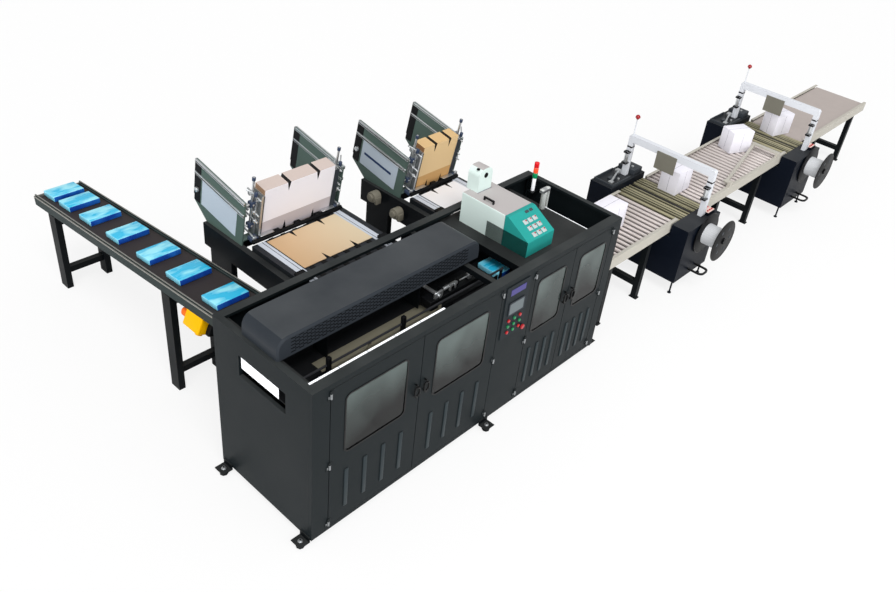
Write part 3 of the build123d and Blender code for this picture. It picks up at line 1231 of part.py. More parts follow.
# Strapping machines
for number, strap_start in enumerate(STRAP_STARTS, start=1):
    left_x = CAB_X + strap_start
    front_y = CAB_Y + STRAP_FRONT
    back_y = CAB_Y + STRAP_BACK
    track_x = left_x + TRACK_AT
    reel_x = left_x + REEL_AT

    # Base: one welded housing, low in the middle where the table lies, on four levelling feet
    with BuildPart() as strapper_base:
        with BuildSketch(facing_right(left_x)):
            with BuildLine():
                Polyline(
                    (front_y, STRAP_LOW),
                    (front_y, NEAR_TOP),
                    (front_y + NEAR_BOX, NEAR_TOP),
                    (front_y + NEAR_BOX, WELL_TOP),
                    (back_y - FAR_BOX, WELL_TOP),
                    (back_y - FAR_BOX, FAR_TOP),
                    (back_y, FAR_TOP),
                    (back_y, STRAP_LOW),
                    close=True,
                )
            make_face()
        extrude(amount=STRAP_LENGTH)
        base_y, base_depth = span(front_y, back_y)
        for radius, height in ((STRAP_FOOT_STEM, STRAP_LOW), (STRAP_FOOT_RADIUS, PAD_HEIGHT)):
            with BuildSketch(level(0)):
                with Locations((left_x + STRAP_LENGTH / 2, base_y)):
                    with GridLocations(
                        STRAP_LENGTH - STRAP_FOOT_INSET, base_depth - STRAP_FOOT_INSET, 2, 2
                    ):
                        RegularPolygon(radius, STRAP_FOOT_SIDES)
            extrude(amount=height)
        with BuildSketch(level(NEAR_TOP)):
            with Locations((left_x + KEY_BOX_AT + KEY_BOX_LENGTH / 2, front_y + NEAR_BOX / 2)):
                Polygon(*cut_corners(KEY_BOX_LENGTH, KEY_BOX_DEPTH, PANEL_THICK))
        extrude(amount=KEY_BOX_HEIGHT)
    save(strapper_base, f"strapper_{number}_base")

    # Table: a tray with rows of small rollers either side of the strap track
    with BuildPart() as strapper_table:
        table_x = left_x + TABLE_START
        table_y, table_width = span(front_y + NEAR_BOX + SEAT, back_y - FAR_BOX - SEAT)
        with BuildSketch(facing_front(table_y)):
            with Locations((table_x, WELL_TOP + SEAT)):
                Rectangle(
                    TABLE_LENGTH, CASE_PLANE - WELL_TOP - SMALL_ROLLER, align=(Align.MIN, Align.MIN)
                )
            with Locations((track_x, CASE_PLANE)):
                Rectangle(TRACK_WIDTH, 2 * SMALL_ROLLER, mode=Mode.SUBTRACT)
        extrude(amount=table_width / 2, both=True)
        table_end = table_x + TABLE_LENGTH
        for start, end in (
            (table_x, track_x - TRACK_WIDTH / 2),
            (track_x + TRACK_WIDTH / 2, table_end),
        ):
            count = int((end - start) / SMALL_PITCH)
            with BuildSketch(facing_front(table_y)):
                with Locations(((start + end) / 2, CASE_PLANE - SMALL_ROLLER)):
                    with GridLocations(SMALL_PITCH, 0, count, 1):
                        RegularPolygon(SMALL_ROLLER, SMALL_SIDES)
            extrude(amount=table_width / 2 - SHEET, both=True)
    save(strapper_table, f"strapper_{number}_table")

    # Arch: a bent box frame over the track, with cylinders, a stop plate and a beacon
    with BuildPart() as strapper_arch:
        arch_y, arch_width = span(CAB_Y + ARCH_NEAR, CAB_Y + ARCH_FAR)
        with BuildSketch(facing_right(track_x - ARCH_THICK / 2)):
            with Locations((arch_y, ARCH_TOP)):
                Rectangle(arch_width, ARCH_TOP - NEAR_TOP - SEAT, align=(Align.CENTER, Align.MAX))
            fillet(vertices().group_by(Axis.Z)[-1], ARCH_RADIUS)
            with Locations((arch_y, ARCH_TOP - ARCH_BEAM)):
                Rectangle(
                    arch_width - 2 * ARCH_LEG,
                    ARCH_TOP - NEAR_TOP,
                    align=(Align.CENTER, Align.MAX),
                    mode=Mode.SUBTRACT,
                )
            with Locations((CAB_Y + ARCH_FAR, NEAR_TOP)):
                Rectangle(
                    2 * ARCH_LEG,
                    FAR_TOP + SEAT - NEAR_TOP,
                    align=(Align.CENTER, Align.MIN),
                    mode=Mode.SUBTRACT,
                )
        extrude(amount=ARCH_THICK)
        for at_y in (CAB_Y + ARCH_NEAR + ARCH_LEG / 2, CAB_Y + ARCH_FAR - ARCH_LEG / 2):
            with BuildSketch(level(CYLINDER_Z)):
                with Locations((track_x - ARCH_THICK / 2 - CYLINDER_RADIUS + CYLINDER_SINK, at_y)):
                    RegularPolygon(CYLINDER_RADIUS, CYLINDER_SIDES)
            extrude(amount=CYLINDER_LENGTH)
            for clamp_z in (CYLINDER_Z, CYLINDER_Z + CYLINDER_LENGTH - CLAMP_HEIGHT):
                with BuildSketch(level(clamp_z)):
                    with Locations((track_x - ARCH_THICK / 2 - CYLINDER_RADIUS + CYLINDER_SINK, at_y)):
                        Rectangle(2 * CYLINDER_RADIUS + CLAMP_HEIGHT, ARCH_LEG)
                extrude(amount=CLAMP_HEIGHT)
        with BuildSketch(facing_right(track_x - ARCH_THICK / 2)):
            with Locations((CAB_Y + STOP_PLATE_Y, STOP_PLATE_LOW)):
                Rectangle(
                    STOP_PLATE_WIDTH,
                    ARCH_TOP - ARCH_BEAM / 2 - STOP_PLATE_LOW,
                    align=(Align.CENTER, Align.MIN),
                )
        extrude(amount=-STOP_PLATE_THICK)
        with BuildSketch(level(ARCH_TOP - ARCH_BEAM / 2)):
            with Locations((track_x, CAB_Y + ARCH_FAR - ARCH_LEG / 2)):
                RegularPolygon(BEACON_RADIUS, BEACON_SIDES)
        extrude(amount=BEACON_Z - ARCH_TOP + ARCH_BEAM / 2)
        beacon = (track_x, CAB_Y + ARCH_FAR - ARCH_LEG / 2, BEACON_Z)
        for up in (-1, 1):
            with BuildSketch(Plane(origin=beacon, x_dir=(1, 0, 0), z_dir=(0, 0, up))):
                RegularPolygon(BEACON_BALL, CYLINDER_SIDES)
            extrude(amount=BEACON_CAP, taper=BEACON_SLOPE)
    save(strapper_arch, f"strapper_{number}_arch")

    # Reel: strap wound between two flanges with lightening holes, turned about its bore
    reel_back = front_y - REEL_GAP
    with BuildPart() as strap_reel:
        for offset_y, radius, thick in (
            (0, REEL_RADIUS, REEL_FLANGE),
            (REEL_FLANGE, COIL_RADIUS, REEL_WIDTH - 2 * REEL_FLANGE),
            (REEL_WIDTH - REEL_FLANGE, REEL_RADIUS, REEL_FLANGE),
        ):
            with BuildSketch(facing_front(reel_back - offset_y)):
                with Locations((reel_x, REEL_Z)):
                    RegularPolygon(radius, REEL_SIDES)
                    if radius > COIL_RADIUS:
                        with PolarLocations(REEL_HOLE_CIRCLE, REEL_HOLES):
                            RegularPolygon(REEL_HOLE_RADIUS, REEL_HOLE_SIDES, mode=Mode.SUBTRACT)
            extrude(amount=thick)
        with BuildSketch(facing_front(reel_back)):
            with Locations((reel_x, REEL_Z)):
                Circle(SHAFT_RADIUS + SHAFT_PLAY)
        extrude(amount=REEL_WIDTH, mode=Mode.SUBTRACT)
    save(strap_reel, f"strapper_{number}_reel")

    # Reel stand: a wall plate with the shaft, a collar and an end nut, and two tube loops
    with BuildPart() as reel_stand:
        with BuildSketch(facing_front(front_y - SEAT)):
            with Locations((reel_x, REEL_Z)):
                Rectangle(3 * HUB_RADIUS, 3 * HUB_RADIUS)
        extrude(amount=PANEL_THICK)
        with BuildSketch(facing_front(front_y - SEAT)):
            with Locations((reel_x, REEL_Z)):
                Circle(SHAFT_RADIUS)
        extrude(amount=REEL_GAP + REEL_WIDTH + 2 * PANEL_THICK)
        with BuildSketch(facing_front(front_y - REEL_GAP - REEL_WIDTH - 1)):
            with Locations((reel_x, REEL_Z)):
                RegularPolygon(NUT_RADIUS, NUT_SIDES)
        extrude(amount=2 * PANEL_THICK)
        with BuildSketch(level(LOOP_Z - ARM_RADIUS)):
            with Locations((left_x + STRAP_LENGTH / 2, front_y - SEAT)):
                RectangleRounded(LOOP_WIDTH, 2 * LOOP_REACH, LOOP_WIDTH / 3)
                RectangleRounded(
                    LOOP_WIDTH - 4 * ARM_RADIUS,
                    2 * LOOP_REACH - 4 * ARM_RADIUS,
                    LOOP_WIDTH / 4,
                    mode=Mode.SUBTRACT,
                )
                Rectangle(
                    LOOP_WIDTH, LOOP_REACH, align=(Align.CENTER, Align.MIN), mode=Mode.SUBTRACT
                )
        extrude(amount=2 * ARM_RADIUS)
    save(reel_stand, f"strapper_{number}_reel_stand")
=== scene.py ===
# %% [markdown]
# A ream case packer dressed for a studio picture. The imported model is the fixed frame: every piece below
# is made in metres at the place where the machine carries it.

# %% Load the fixed frame
import json
import math

import bpy
from mathutils import Euler, Matrix, Vector


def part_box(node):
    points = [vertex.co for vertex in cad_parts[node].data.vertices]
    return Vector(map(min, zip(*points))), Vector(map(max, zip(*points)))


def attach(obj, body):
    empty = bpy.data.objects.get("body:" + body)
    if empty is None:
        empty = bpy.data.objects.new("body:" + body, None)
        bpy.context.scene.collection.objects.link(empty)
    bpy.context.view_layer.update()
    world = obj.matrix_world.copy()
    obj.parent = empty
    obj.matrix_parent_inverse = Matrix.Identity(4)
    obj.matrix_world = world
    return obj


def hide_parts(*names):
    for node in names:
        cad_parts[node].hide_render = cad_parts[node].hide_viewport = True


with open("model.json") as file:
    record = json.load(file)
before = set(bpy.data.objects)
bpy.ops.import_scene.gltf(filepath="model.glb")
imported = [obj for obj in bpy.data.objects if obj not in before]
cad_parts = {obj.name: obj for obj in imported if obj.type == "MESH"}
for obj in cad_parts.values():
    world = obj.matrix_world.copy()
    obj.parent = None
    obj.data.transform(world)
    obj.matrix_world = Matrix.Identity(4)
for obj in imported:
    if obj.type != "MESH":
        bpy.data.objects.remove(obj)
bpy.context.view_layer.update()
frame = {"nodes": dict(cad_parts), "record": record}
print("frame nodes", len(frame["nodes"]))

# %% [markdown]
# The camera stands high at the left front corner of the line, with a lens a little wider than normal, so
# that the far conveyor shrinks as it does in the photograph. It is plain: no shift, no blur.

# %% Camera
CAMERA_PLACE = (-2.5351, -3.1644, 5.2501)
CAMERA_TURN = (53.8786, -5.5626, -46.7108)
LENS = 34.85
camera_data = bpy.data.cameras.new("camera")
camera_data.lens = LENS
camera_data.sensor_width = 36.0
camera_data.clip_end = 200.0
camera = bpy.data.objects.new("camera", camera_data)
camera.location = CAMERA_PLACE
camera.rotation_euler = Euler([math.radians(angle) for angle in CAMERA_TURN], "XYZ")
bpy.context.scene.collection.objects.link(camera)
bpy.context.scene.camera = camera
bpy.context.scene.view_settings.view_transform = "Standard"
print("camera", camera.location)

# %% [markdown]
# Shader sums are easier to read as Python. One small class wraps a socket, so that a + b adds a Math node,
# and one method of a finish makes every other node from its kind, its settings and its sockets.


# %% Shader helpers
class Shade:
    """A socket of a finish: sums and products of it add Math nodes."""

    def __init__(self, finish, socket):
        self.finish = finish
        self.socket = socket

    def math(self, operation, first, second):
        return self.finish.node("Math", {"operation": operation}, {0: first, 1: second})

    def __add__(self, other):
        return self.math("ADD", self, other)

    def __radd__(self, other):
        return self.math("ADD", other, self)

    def __sub__(self, other):
        return self.math("SUBTRACT", self, other)

    def __rsub__(self, other):
        return self.math("SUBTRACT", other, self)

    def __mul__(self, other):
        return self.math("MULTIPLY", self, other)

    def __rmul__(self, other):
        return self.math("MULTIPLY", other, self)

    def __gt__(self, other):
        return self.math("GREATER_THAN", self, other)

    def __lt__(self, other):
        return self.math("LESS_THAN", self, other)


class Finish:
    """A material under construction."""

    def __init__(self, name):
        self.material = bpy.data.materials.new(name)
        self.material.use_nodes = True
        self.tree = self.material.node_tree
        self.shader = self.tree.nodes["Principled BSDF"]

    def feed(self, socket, value):
        if isinstance(value, Shade):
            self.tree.links.new(value.socket, socket)
        elif isinstance(value, (tuple, list)) and socket.type == "RGBA":
            socket.default_value = (*value[:3], 1.0)
        else:
            socket.default_value = value

    def node(self, kind, settings=None, sockets=None, output=0):
        node = self.tree.nodes.new("ShaderNode" + kind)
        for name, value in (settings or {}).items():
            if name == "stops":
                for stop, (place, shade) in zip(node.color_ramp.elements, value):
                    stop.position = place
                    stop.color = (shade, shade, shade, 1.0)
            else:
                setattr(node, name, value)
        for name, value in (sockets or {}).items():
            self.feed(node.inputs[name], value)
        return Shade(self, node.outputs[output])

    def mix(self, factor, first, second):
        return self.node("Mix", {"data_type": "RGBA"}, {0: factor, 6: first, 7: second}, output=2)

    def set(self, name, value):
        self.feed(self.shader.inputs[name], value)

    def place(self, axis=None):
        """Object coordinates, or one of the three."""
        whole = self.node("TexCoord", output="Object")
        if axis is None:
            return whole
        return self.node("SeparateXYZ", sockets={0: whole}, output=axis)

    def facing(self, axis):
        """How far the surface faces along one axis."""
        normal = self.node("NewGeometry", output="Normal")
        return self.node("SeparateXYZ", sockets={0: normal}, output=axis)

    def noise(self, scale, detail=2.0, stretch=(1.0, 1.0, 1.0)):
        spot = self.node("Mapping", sockets={"Vector": self.place(), "Scale": stretch})
        return self.node("TexNoise", sockets={"Vector": spot, "Scale": scale, "Detail": detail})

    def bump(self, height, strength, distance=0.0006):
        bumped = self.node(
            "Bump", sockets={"Height": height, "Strength": strength, "Distance": distance}
        )
        self.set("Normal", bumped)


def srgb(red, green, blue):
    """A colour as it looks on screen, 0 to 255, in the linear values that a shader takes."""
    return tuple((value / 255.0) ** 2.2 for value in (red, green, blue))


def shaded(colour, factor):
    """The same colour, lighter or darker."""
    return tuple(min(1.0, value * factor) for value in colour)


print("shader helpers ready")

# %% [markdown]
# The machine is mostly sheet metal with a satin powder coat: slightly mottled, with a fine orange peel,
# paler dust on what faces up and faint scuffs. One function makes them all, from a colour and a gloss.


# %% Paint, steel, plastic, board and glass
def painted(name, colour, roughness=0.42, mottling=0.14, dust=0.16, peel=0.08, shine=0.08):
    finish = Finish(name)
    cloud = finish.noise(2.4, 4.0)
    scuff = finish.noise(34.0, 3.0, (1.0, 1.0, 6.0)) > 0.68
    base = finish.mix(cloud, shaded(colour, 1 - mottling), shaded(colour, 1 + mottling))
    base = finish.mix(scuff * 0.10, base, shaded(colour, 2.2))
    up = (finish.facing(2) > 0.9) * (cloud * dust)
    base = finish.mix(up, base, srgb(150, 152, 150))
    finish.set("Base Color", base)
    finish.set("Roughness", roughness + (cloud - 0.5) * 0.2)
    finish.set("Specular IOR Level", shine)
    finish.bump(finish.noise(520.0, 1.0), peel)
    return finish.material


def zoned(name, colour, zones, roughness=0.42):
    """Paint whose colour changes inside masks that are given as a function of the finish."""
    finish = Finish(name)
    cloud = finish.noise(3.0, 3.0)
    base = finish.mix(cloud, shaded(colour, 0.92), shaded(colour, 1.08))
    for mask, other in zones(finish):
        base = finish.mix(mask, base, other)
    finish.set("Base Color", base)
    finish.set("Roughness", roughness + (cloud - 0.5) * 0.15)
    finish.set("Specular IOR Level", 0.15)
    finish.bump(finish.noise(500.0, 1.0), 0.06)
    return finish.material


def brushed(name, colour, roughness=0.32, stretch=(1.0, 60.0, 60.0), metallic=0.85):
    finish = Finish(name)
    grain = finish.noise(7.0, 3.0, stretch)
    cloud = finish.noise(5.0, 2.0)
    finish.set("Base Color", finish.mix(grain, shaded(colour, 0.78), shaded(colour, 1.08)))
    finish.set("Metallic", metallic)
    finish.set("Roughness", roughness + (grain - 0.5) * 0.2 + (cloud - 0.5) * 0.12)
    finish.bump(grain, 0.05)
    return finish.material


def moulded(name, colour, roughness=0.5, glow=0.0):
    finish = Finish(name)
    cloud = finish.noise(9.0, 2.0)
    finish.set("Base Color", finish.mix(cloud, shaded(colour, 0.93), shaded(colour, 1.05)))
    finish.set("Roughness", roughness + (cloud - 0.5) * 0.1)
    finish.bump(finish.noise(900.0, 1.0), 0.05)
    if glow:
        finish.set("Emission Color", colour)
        finish.set("Emission Strength", glow)
    return finish.material


def rubbery(name, colour, roughness=0.7, stretch=(1.0, 1.0, 1.0)):
    finish = Finish(name)
    worn = finish.noise(14.0, 4.0, stretch)
    finish.set("Base Color", finish.mix(worn, shaded(colour, 0.75), shaded(colour, 1.35)))
    finish.set("Roughness", roughness + (worn - 0.5) * 0.2)
    finish.bump(finish.noise(700.0, 2.0), 0.2)
    return finish.material


def board(name, colour, roughness=0.75):
    finish = Finish(name)
    fibre = finish.noise(120.0, 4.0, (1.0, 0.2, 1.0))
    cloud = finish.noise(3.0, 2.0)
    pulp = finish.mix(fibre, shaded(colour, 0.93), shaded(colour, 1.04))
    finish.set("Base Color", finish.mix(cloud * 0.3, pulp, shaded(colour, 0.88)))
    finish.set("Roughness", roughness)
    finish.bump(fibre, 0.1)
    return finish.material


def tinted_glass(name, low_colour, reflection_colour, clearness, low=0.86, high=1.34):
    """Smoked glass with a painted reflection: dark at its lower edge, lighter towards the top along a cloudy line."""
    finish = Finish(name)
    haze_and_reflection_edge = finish.noise(2.4, 2.0, (1.0, 1.0, 0.6))
    # Painted reflection: the glass colour runs from the dark colour at the lower edge to the lighter colour higher up.
    rise = (finish.place(2) - low) * (1 / (high - low)) + (haze_and_reflection_edge - 0.5) * 1.5
    finish.set("Base Color", finish.mix(rise, low_colour, reflection_colour))
    finish.set("Roughness", 0.06 + haze_and_reflection_edge * 0.05)
    finish.set("Alpha", (1 - clearness) + haze_and_reflection_edge * 0.1)
    finish.set("Specular IOR Level", 0.2)
    return finish.material


def glue_zones(finish):
    """A pinkish lid, with its black handle above it."""
    on_lid = (finish.place(2) > 1.6802) * (finish.place(1) < 0.75)
    return [(finish.facing(2) > 0.9, srgb(180, 175, 174)), (on_lid, srgb(24, 24, 26))]


def bed_zones(finish):
    """The bare olive plate shows only in a band in the middle of the bed; the near-black elsewhere is painted shade
    under the hood. Rods above are dark steel.
    """
    across = finish.place(0)
    olive_band = (across > 0.47) * (across < 1.56) * (finish.place(1) < 0.452)
    return [(olive_band, srgb(124, 120, 104)), (finish.place(2) > 1.318, srgb(52, 53, 56))]


def table_zones(finish):
    """Feed belts stand black above the table plate."""
    plate = (finish.place(2) > 1.3432) * (finish.facing(2) > 0.9)
    return [(plate, srgb(46, 48, 52)), (finish.place(2) > 1.3446, srgb(12, 12, 13))]


def tower_zones(finish):
    """The lamp pole stands on a dark foot."""
    return [(finish.place(2) < 1.3765, srgb(20, 23, 25))]


CABINET_GREY = srgb(29, 34, 36)
finishes = {
    "cabinet_paint": painted("cabinet_paint", CABINET_GREY),
    "hood_paint": painted("hood_paint", srgb(50, 54, 59), 0.38),
    "frame_steel": painted("frame_steel", srgb(20, 23, 25)),
    "tinted_window": tinted_glass("tinted_window", srgb(6, 7, 7), srgb(86, 96, 94), 0.12),
    # Every part with this finish glows a little (emission 0.35); on the slot plate, deck strip, tower pole and latch,
    # which are no lamps, the glow is painted light.
    "white_plastic": moulded("white_plastic", srgb(244, 246, 250), 0.4, 0.35),
    "bright_steel": brushed("bright_steel", srgb(205, 208, 210)),
    "glue_white": zoned("glue_white", srgb(216, 233, 228), glue_zones, 0.35),
    "glue_teal": painted("glue_teal", srgb(46, 150, 143), 0.35, 0.08, 0.0),
    "panel_grey": painted("panel_grey", srgb(38, 43, 46), 0.5, 0.05, 0.0),
    "conveyor_green": painted("conveyor_green", srgb(42, 52, 52)),
    "belt_rubber": rubbery("belt_rubber", srgb(44, 38, 38)),
    "drive_yellow": painted("drive_yellow", srgb(238, 176, 0), 0.4, 0.04, 0.0),
    "feeder_dark": painted("feeder_dark", srgb(19, 22, 25)),
    "magazine_grey": painted("magazine_grey", srgb(80, 97, 91), 0.45),
    "conveyor_cream": painted("conveyor_cream", srgb(184, 180, 170), 0.45, 0.07),
    "roller_zinc": brushed("roller_zinc", srgb(222, 212, 208), 0.36, (60.0, 1.0, 60.0), 0.35),
    "exit_belt_beige": moulded("exit_belt_beige", srgb(172, 162, 157), 0.6),
    "strapper_blue": painted("strapper_blue", srgb(17, 22, 31)),
    "table_olive": painted("table_olive", srgb(70, 67, 50), 0.4),
    "arch_white": painted("arch_white", srgb(214, 217, 223), 0.4, 0.04, 0.0),
    "black_steel": painted("black_steel", srgb(18, 19, 21), 0.4),
    "handle_black": painted("handle_black", srgb(13, 13, 14), 0.35, 0.1, 0.0, 0.05, 0.2),
    "case_board": board("case_board", srgb(242, 240, 249)),
}
print("finishes", len(finishes))

# %% [markdown]
# Some nodes hold two finishes: a stack of board shows printed fronts and raw edges, a reel has black
# flanges round a pale coil. A mask from the position on the piece picks between them.


# %% Finishes that change over one piece
def blank_boards(name, feeder, flat_colours, front_colours, edge_colour, top_colour):
    """The tilted stack stands higher than the flat blank, and the insides of the notches of both get painted shade."""
    middle, depth, level, blank = feeder
    finish = Finish(name)
    tilt = math.radians(10.5)
    turned = finish.node("Mapping", sockets={"Vector": finish.place(), "Rotation": (-tilt, 0, 0)})
    deep = finish.node("SeparateXYZ", sockets={0: turned}, output=1)
    rise = finish.node("SeparateXYZ", sockets={0: turned}, output=2)
    lines = finish.node("Math", {"operation": "SINE"}, {0: deep * 1570.0})
    front = finish.facing(1)
    is_edge = (front > -0.9) * (front < 0.9)
    flap_line = level * math.cos(tilt) - depth * math.sin(tilt) + 0.15
    stack = finish.mix(rise < flap_line, front_colours[0], front_colours[1])
    edges = finish.mix(lines * 0.5 + 0.5, shaded(edge_colour, 0.55), edge_colour)
    edges = finish.mix(finish.facing(2) > 0.6, edges, top_colour)
    stack = finish.mix(is_edge, stack, edges)
    across = finish.place(0)
    flat = finish.mix((across - (middle - blank / 2)) * (1 / blank), flat_colours[0], flat_colours[1])
    base = finish.mix(finish.place(2) > 1.3545, flat, stack)
    # Painted shade: the faces inside the two notches are painted near-black.
    near = 0.0
    for notch in (middle - blank / 6, middle + blank / 4):
        near = near + ((across - notch) * (across - notch) < 0.0175 * 0.0175)
    sideways = finish.facing(0) * finish.facing(0) > 0.2
    base = finish.mix(near * is_edge * sideways, base, srgb(14, 13, 13))
    fibre = finish.noise(90.0, 4.0)
    finish.set("Base Color", finish.mix(fibre * 0.06, base, shaded(front_colours[0], 0.6)))
    finish.set("Roughness", 0.75)
    finish.bump(fibre, 0.1)
    return finish.material


def wrapped(name):
    """Film on reams: a pale blue top with painted highlights in paler patches, deep blue long sides and pale ends."""
    finish = Finish(name)
    cloud = finish.noise(5.0, 2.0, (1.0, 2.4, 1.0))
    # Painted highlights: paler patches on the top stand for the sheen of the film.
    highlit_top = finish.mix((cloud - 0.42) * 5.0, srgb(48, 184, 226), srgb(150, 230, 246))
    long_side = finish.facing(1) * finish.facing(1) > 0.45
    end_side = finish.facing(0) * finish.facing(0) > 0.45
    base = finish.mix(long_side, highlit_top, finish.mix((cloud - 0.5) * 6.0, srgb(18, 66, 156), srgb(34, 104, 194)))
    finish.set("Base Color", finish.mix(end_side, base, srgb(136, 218, 242)))
    finish.set("Roughness", 0.28 + (cloud - 0.5) * 0.1)
    finish.bump(finish.noise(160.0, 2.0), 0.08)
    return finish.material


def wound_reel(name, coil_back, coil_front):
    """Pale strap between two black flanges: the coil lies between two places along Y."""
    finish = Finish(name)
    across = finish.place(1)
    inside = (across < coil_back) * (across > coil_front)
    lines = finish.node("Math", {"operation": "SINE"}, {0: across * 520.0})
    coil = finish.mix(lines * 0.5 + 0.5, srgb(176, 178, 182), srgb(226, 228, 230))
    finish.set("Base Color", finish.mix(inside, srgb(18, 18, 20), coil))
    finish.set("Roughness", 0.42 + inside * 0.1)
    finish.set("Specular IOR Level", 0.1)
    finish.bump(lines, 0.25)
    return finish.material


FLAT_TAN = (srgb(198, 160, 118), srgb(212, 194, 162))
FLAT_WHITE = (srgb(230, 230, 234), srgb(236, 236, 240))
WHITE_STACK = (srgb(252, 248, 254), srgb(200, 191, 195))
TAN_STACK = (srgb(236, 202, 150), srgb(208, 160, 100))
finishes["board_white"] = blank_boards(
    "board_white", (1.382, 1.772, 1.352, 0.715), FLAT_TAN, WHITE_STACK, srgb(168, 132, 100), srgb(196, 180, 172)
)
finishes["board_brown"] = blank_boards(
    "board_brown", (2.787, 1.549, 1.352, 0.440), FLAT_WHITE, TAN_STACK, srgb(150, 106, 64), srgb(206, 172, 122)
)
# Painted shade: the bed is near-black outside its olive band, for the shade under the hood.
finishes["bed_in_painted_shade"] = zoned("bed_in_painted_shade", srgb(28, 29, 31), bed_zones, 0.5)
finishes["table_mixed"] = zoned("table_mixed", srgb(27, 30, 33), table_zones, 0.5)
finishes["reel_mixed"] = wound_reel("reel_mixed", -0.1163, -0.3087)
finishes["lamp_colours"] = zoned("lamp_colours", srgb(226, 228, 226), tower_zones, 0.4)
finishes["ream_wrap"] = wrapped("ream_wrap")
# Near-black for painted shade: the dark inside the hood slots and below the rollers.
finishes["painted_shade_black"] = painted("painted_shade_black", srgb(8, 8, 9), 0.8, 0.1, 0.0, 0.05, 0.05)
SPECIAL = {"machine_bed": "bed_in_painted_shade", "feeder_1_table": "table_mixed", "feeder_2_table": "table_mixed"}
for row in frame["record"]["subparts"]:
    cad_node = frame["nodes"][row["node"]]
    cad_node.data.materials.clear()
    cad_node.data.materials.append(finishes[SPECIAL.get(row["node"], row["material_slot"])])

# %% [markdown]
# A picture studio: a wide pale floor that keeps a soft shadow, an even sky and one broad sun from the
# upper left, with a weaker one from the left. Camera rays see the background as white without any more
# light on the machine, and mirror rays see the softer sky, so that dark paint stays dark.

# %% Floor, sky and lamps
SEEN = ("Is Camera Ray", "Is Transmission Ray")
world = bpy.data.worlds.new("studio")
world.use_nodes = True
bpy.context.scene.world = world
sky = world.node_tree
light_path = sky.nodes.new("ShaderNodeLightPath")
seen = light_path.outputs[SEEN[0]]
for name in SEEN[1:]:
    either = sky.nodes.new("ShaderNodeMath")
    either.operation = "MAXIMUM"
    sky.links.new(seen, either.inputs[0])
    sky.links.new(light_path.outputs[name], either.inputs[1])
    seen = either.outputs[0]
ambient = sky.nodes["Background"]
ambient.inputs["Color"].default_value = (1.0, 1.0, 1.0, 1.0)
ambient.inputs["Strength"].default_value = 0.55
white = sky.nodes.new("ShaderNodeBackground")
white.inputs["Color"].default_value = (1.0, 1.0, 1.0, 1.0)
white.inputs["Strength"].default_value = 1.0
both = sky.nodes.new("ShaderNodeMixShader")
sky.links.new(seen, both.inputs[0])
sky.links.new(ambient.outputs[0], both.inputs[1])
sky.links.new(white.outputs[0], both.inputs[2])
sky.links.new(both.outputs[0], sky.nodes["World Output"].inputs[0])

FLOOR_SIZE = 90.0
bpy.ops.object.select_all(action="DESELECT")
bpy.ops.mesh.primitive_plane_add(size=FLOOR_SIZE, location=(5.0, 2.0, -0.001))
floor = bpy.context.object
floor.name = "floor"
pale = Finish("pale_floor")
pale.set("Base Color", srgb(238, 238, 238))
pale.set("Roughness", 0.9)
path = pale.node("LightPath", output="Is Camera Ray")
glow = pale.node("Emission", sockets={"Color": (1.0, 1.0, 1.0), "Strength": 1.0})
veil = pale.node("MixShader", sockets={0: path * 0.8, 1: Shade(pale, pale.shader.outputs[0]), 2: glow})
pale.tree.links.new(veil.socket, pale.tree.nodes["Material Output"].inputs[0])
floor.data.materials.append(pale.material)

sun_data = bpy.data.lights.new("broad_sun", "SUN")
sun_data.energy = 1.7
sun_data.angle = 0.6
sun = bpy.data.objects.new("broad_sun", sun_data)
sun.rotation_euler = Vector((0.35, 0.55, -1.0)).to_track_quat("-Z", "Y").to_euler()
bpy.context.scene.collection.objects.link(sun)
side_data = bpy.data.lights.new("left_sun", "SUN")
side_data.energy = 1.0
side_data.angle = 0.8
side_sun = bpy.data.objects.new("left_sun", side_data)
side_sun.rotation_euler = Vector((1.0, 0.18, -0.38)).to_track_quat("-Z", "Y").to_euler()
bpy.context.scene.collection.objects.link(side_sun)
panel_data = bpy.data.lights.new("front_panel", "AREA")
panel_data.energy = 260.0
panel_data.shape = "RECTANGLE"
panel_data.size = 9.0
panel_data.size_y = 4.0
front_panel = bpy.data.objects.new("front_panel", panel_data)
front_panel.location = (1.0, -7.5, 4.0)
front_panel.rotation_euler = Vector((0.12, 1.0, -0.35)).to_track_quat("-Z", "Y").to_euler()
bpy.context.scene.collection.objects.link(front_panel)
print("lights", 3)

# %% [markdown]
# New pieces start as a primitive at its size and place. Blocks get bevelled edges, rods get broken end
# edges, and both are shaped in edit mode. Everything is deselected first, because an operator acts on all
# that is selected.


# %% Modelling helpers
def deselect():
    bpy.ops.object.select_all(action="DESELECT")


def hold(piece):
    """The one selected and active object."""
    deselect()
    piece.select_set(True)
    bpy.context.view_layer.objects.active = piece
    return piece


def settle(piece):
    """Puts a piece's place, turn and size into its mesh."""
    bpy.ops.object.transform_apply(location=True, rotation=True, scale=True)
    return piece


def pick(piece, test):
    """Enters edit mode with the faces selected whose centre and normal pass the test."""
    mesh = hold(piece).data
    bpy.context.tool_settings.mesh_select_mode = (False, False, True)
    for corner in mesh.vertices:
        corner.select = False
    for edge in mesh.edges:
        edge.select = False
    for face in mesh.polygons:
        face.select = bool(test(face.center, face.normal))
    bpy.ops.object.mode_set(mode="EDIT")


def leave():
    bpy.ops.object.mode_set(mode="OBJECT")


def block(low, high, bevel=0.002, segments=1):
    """A box between two corners with its edges broken."""
    low = Vector(low)
    high = Vector(high)
    deselect()
    bpy.ops.mesh.primitive_cube_add(size=1, location=(low + high) / 2, scale=high - low)
    piece = settle(bpy.context.object)
    if bevel:
        pick(piece, lambda centre, normal: True)
        bpy.ops.mesh.bevel(offset=bevel, segments=segments, affect="EDGES")
        leave()
    return piece


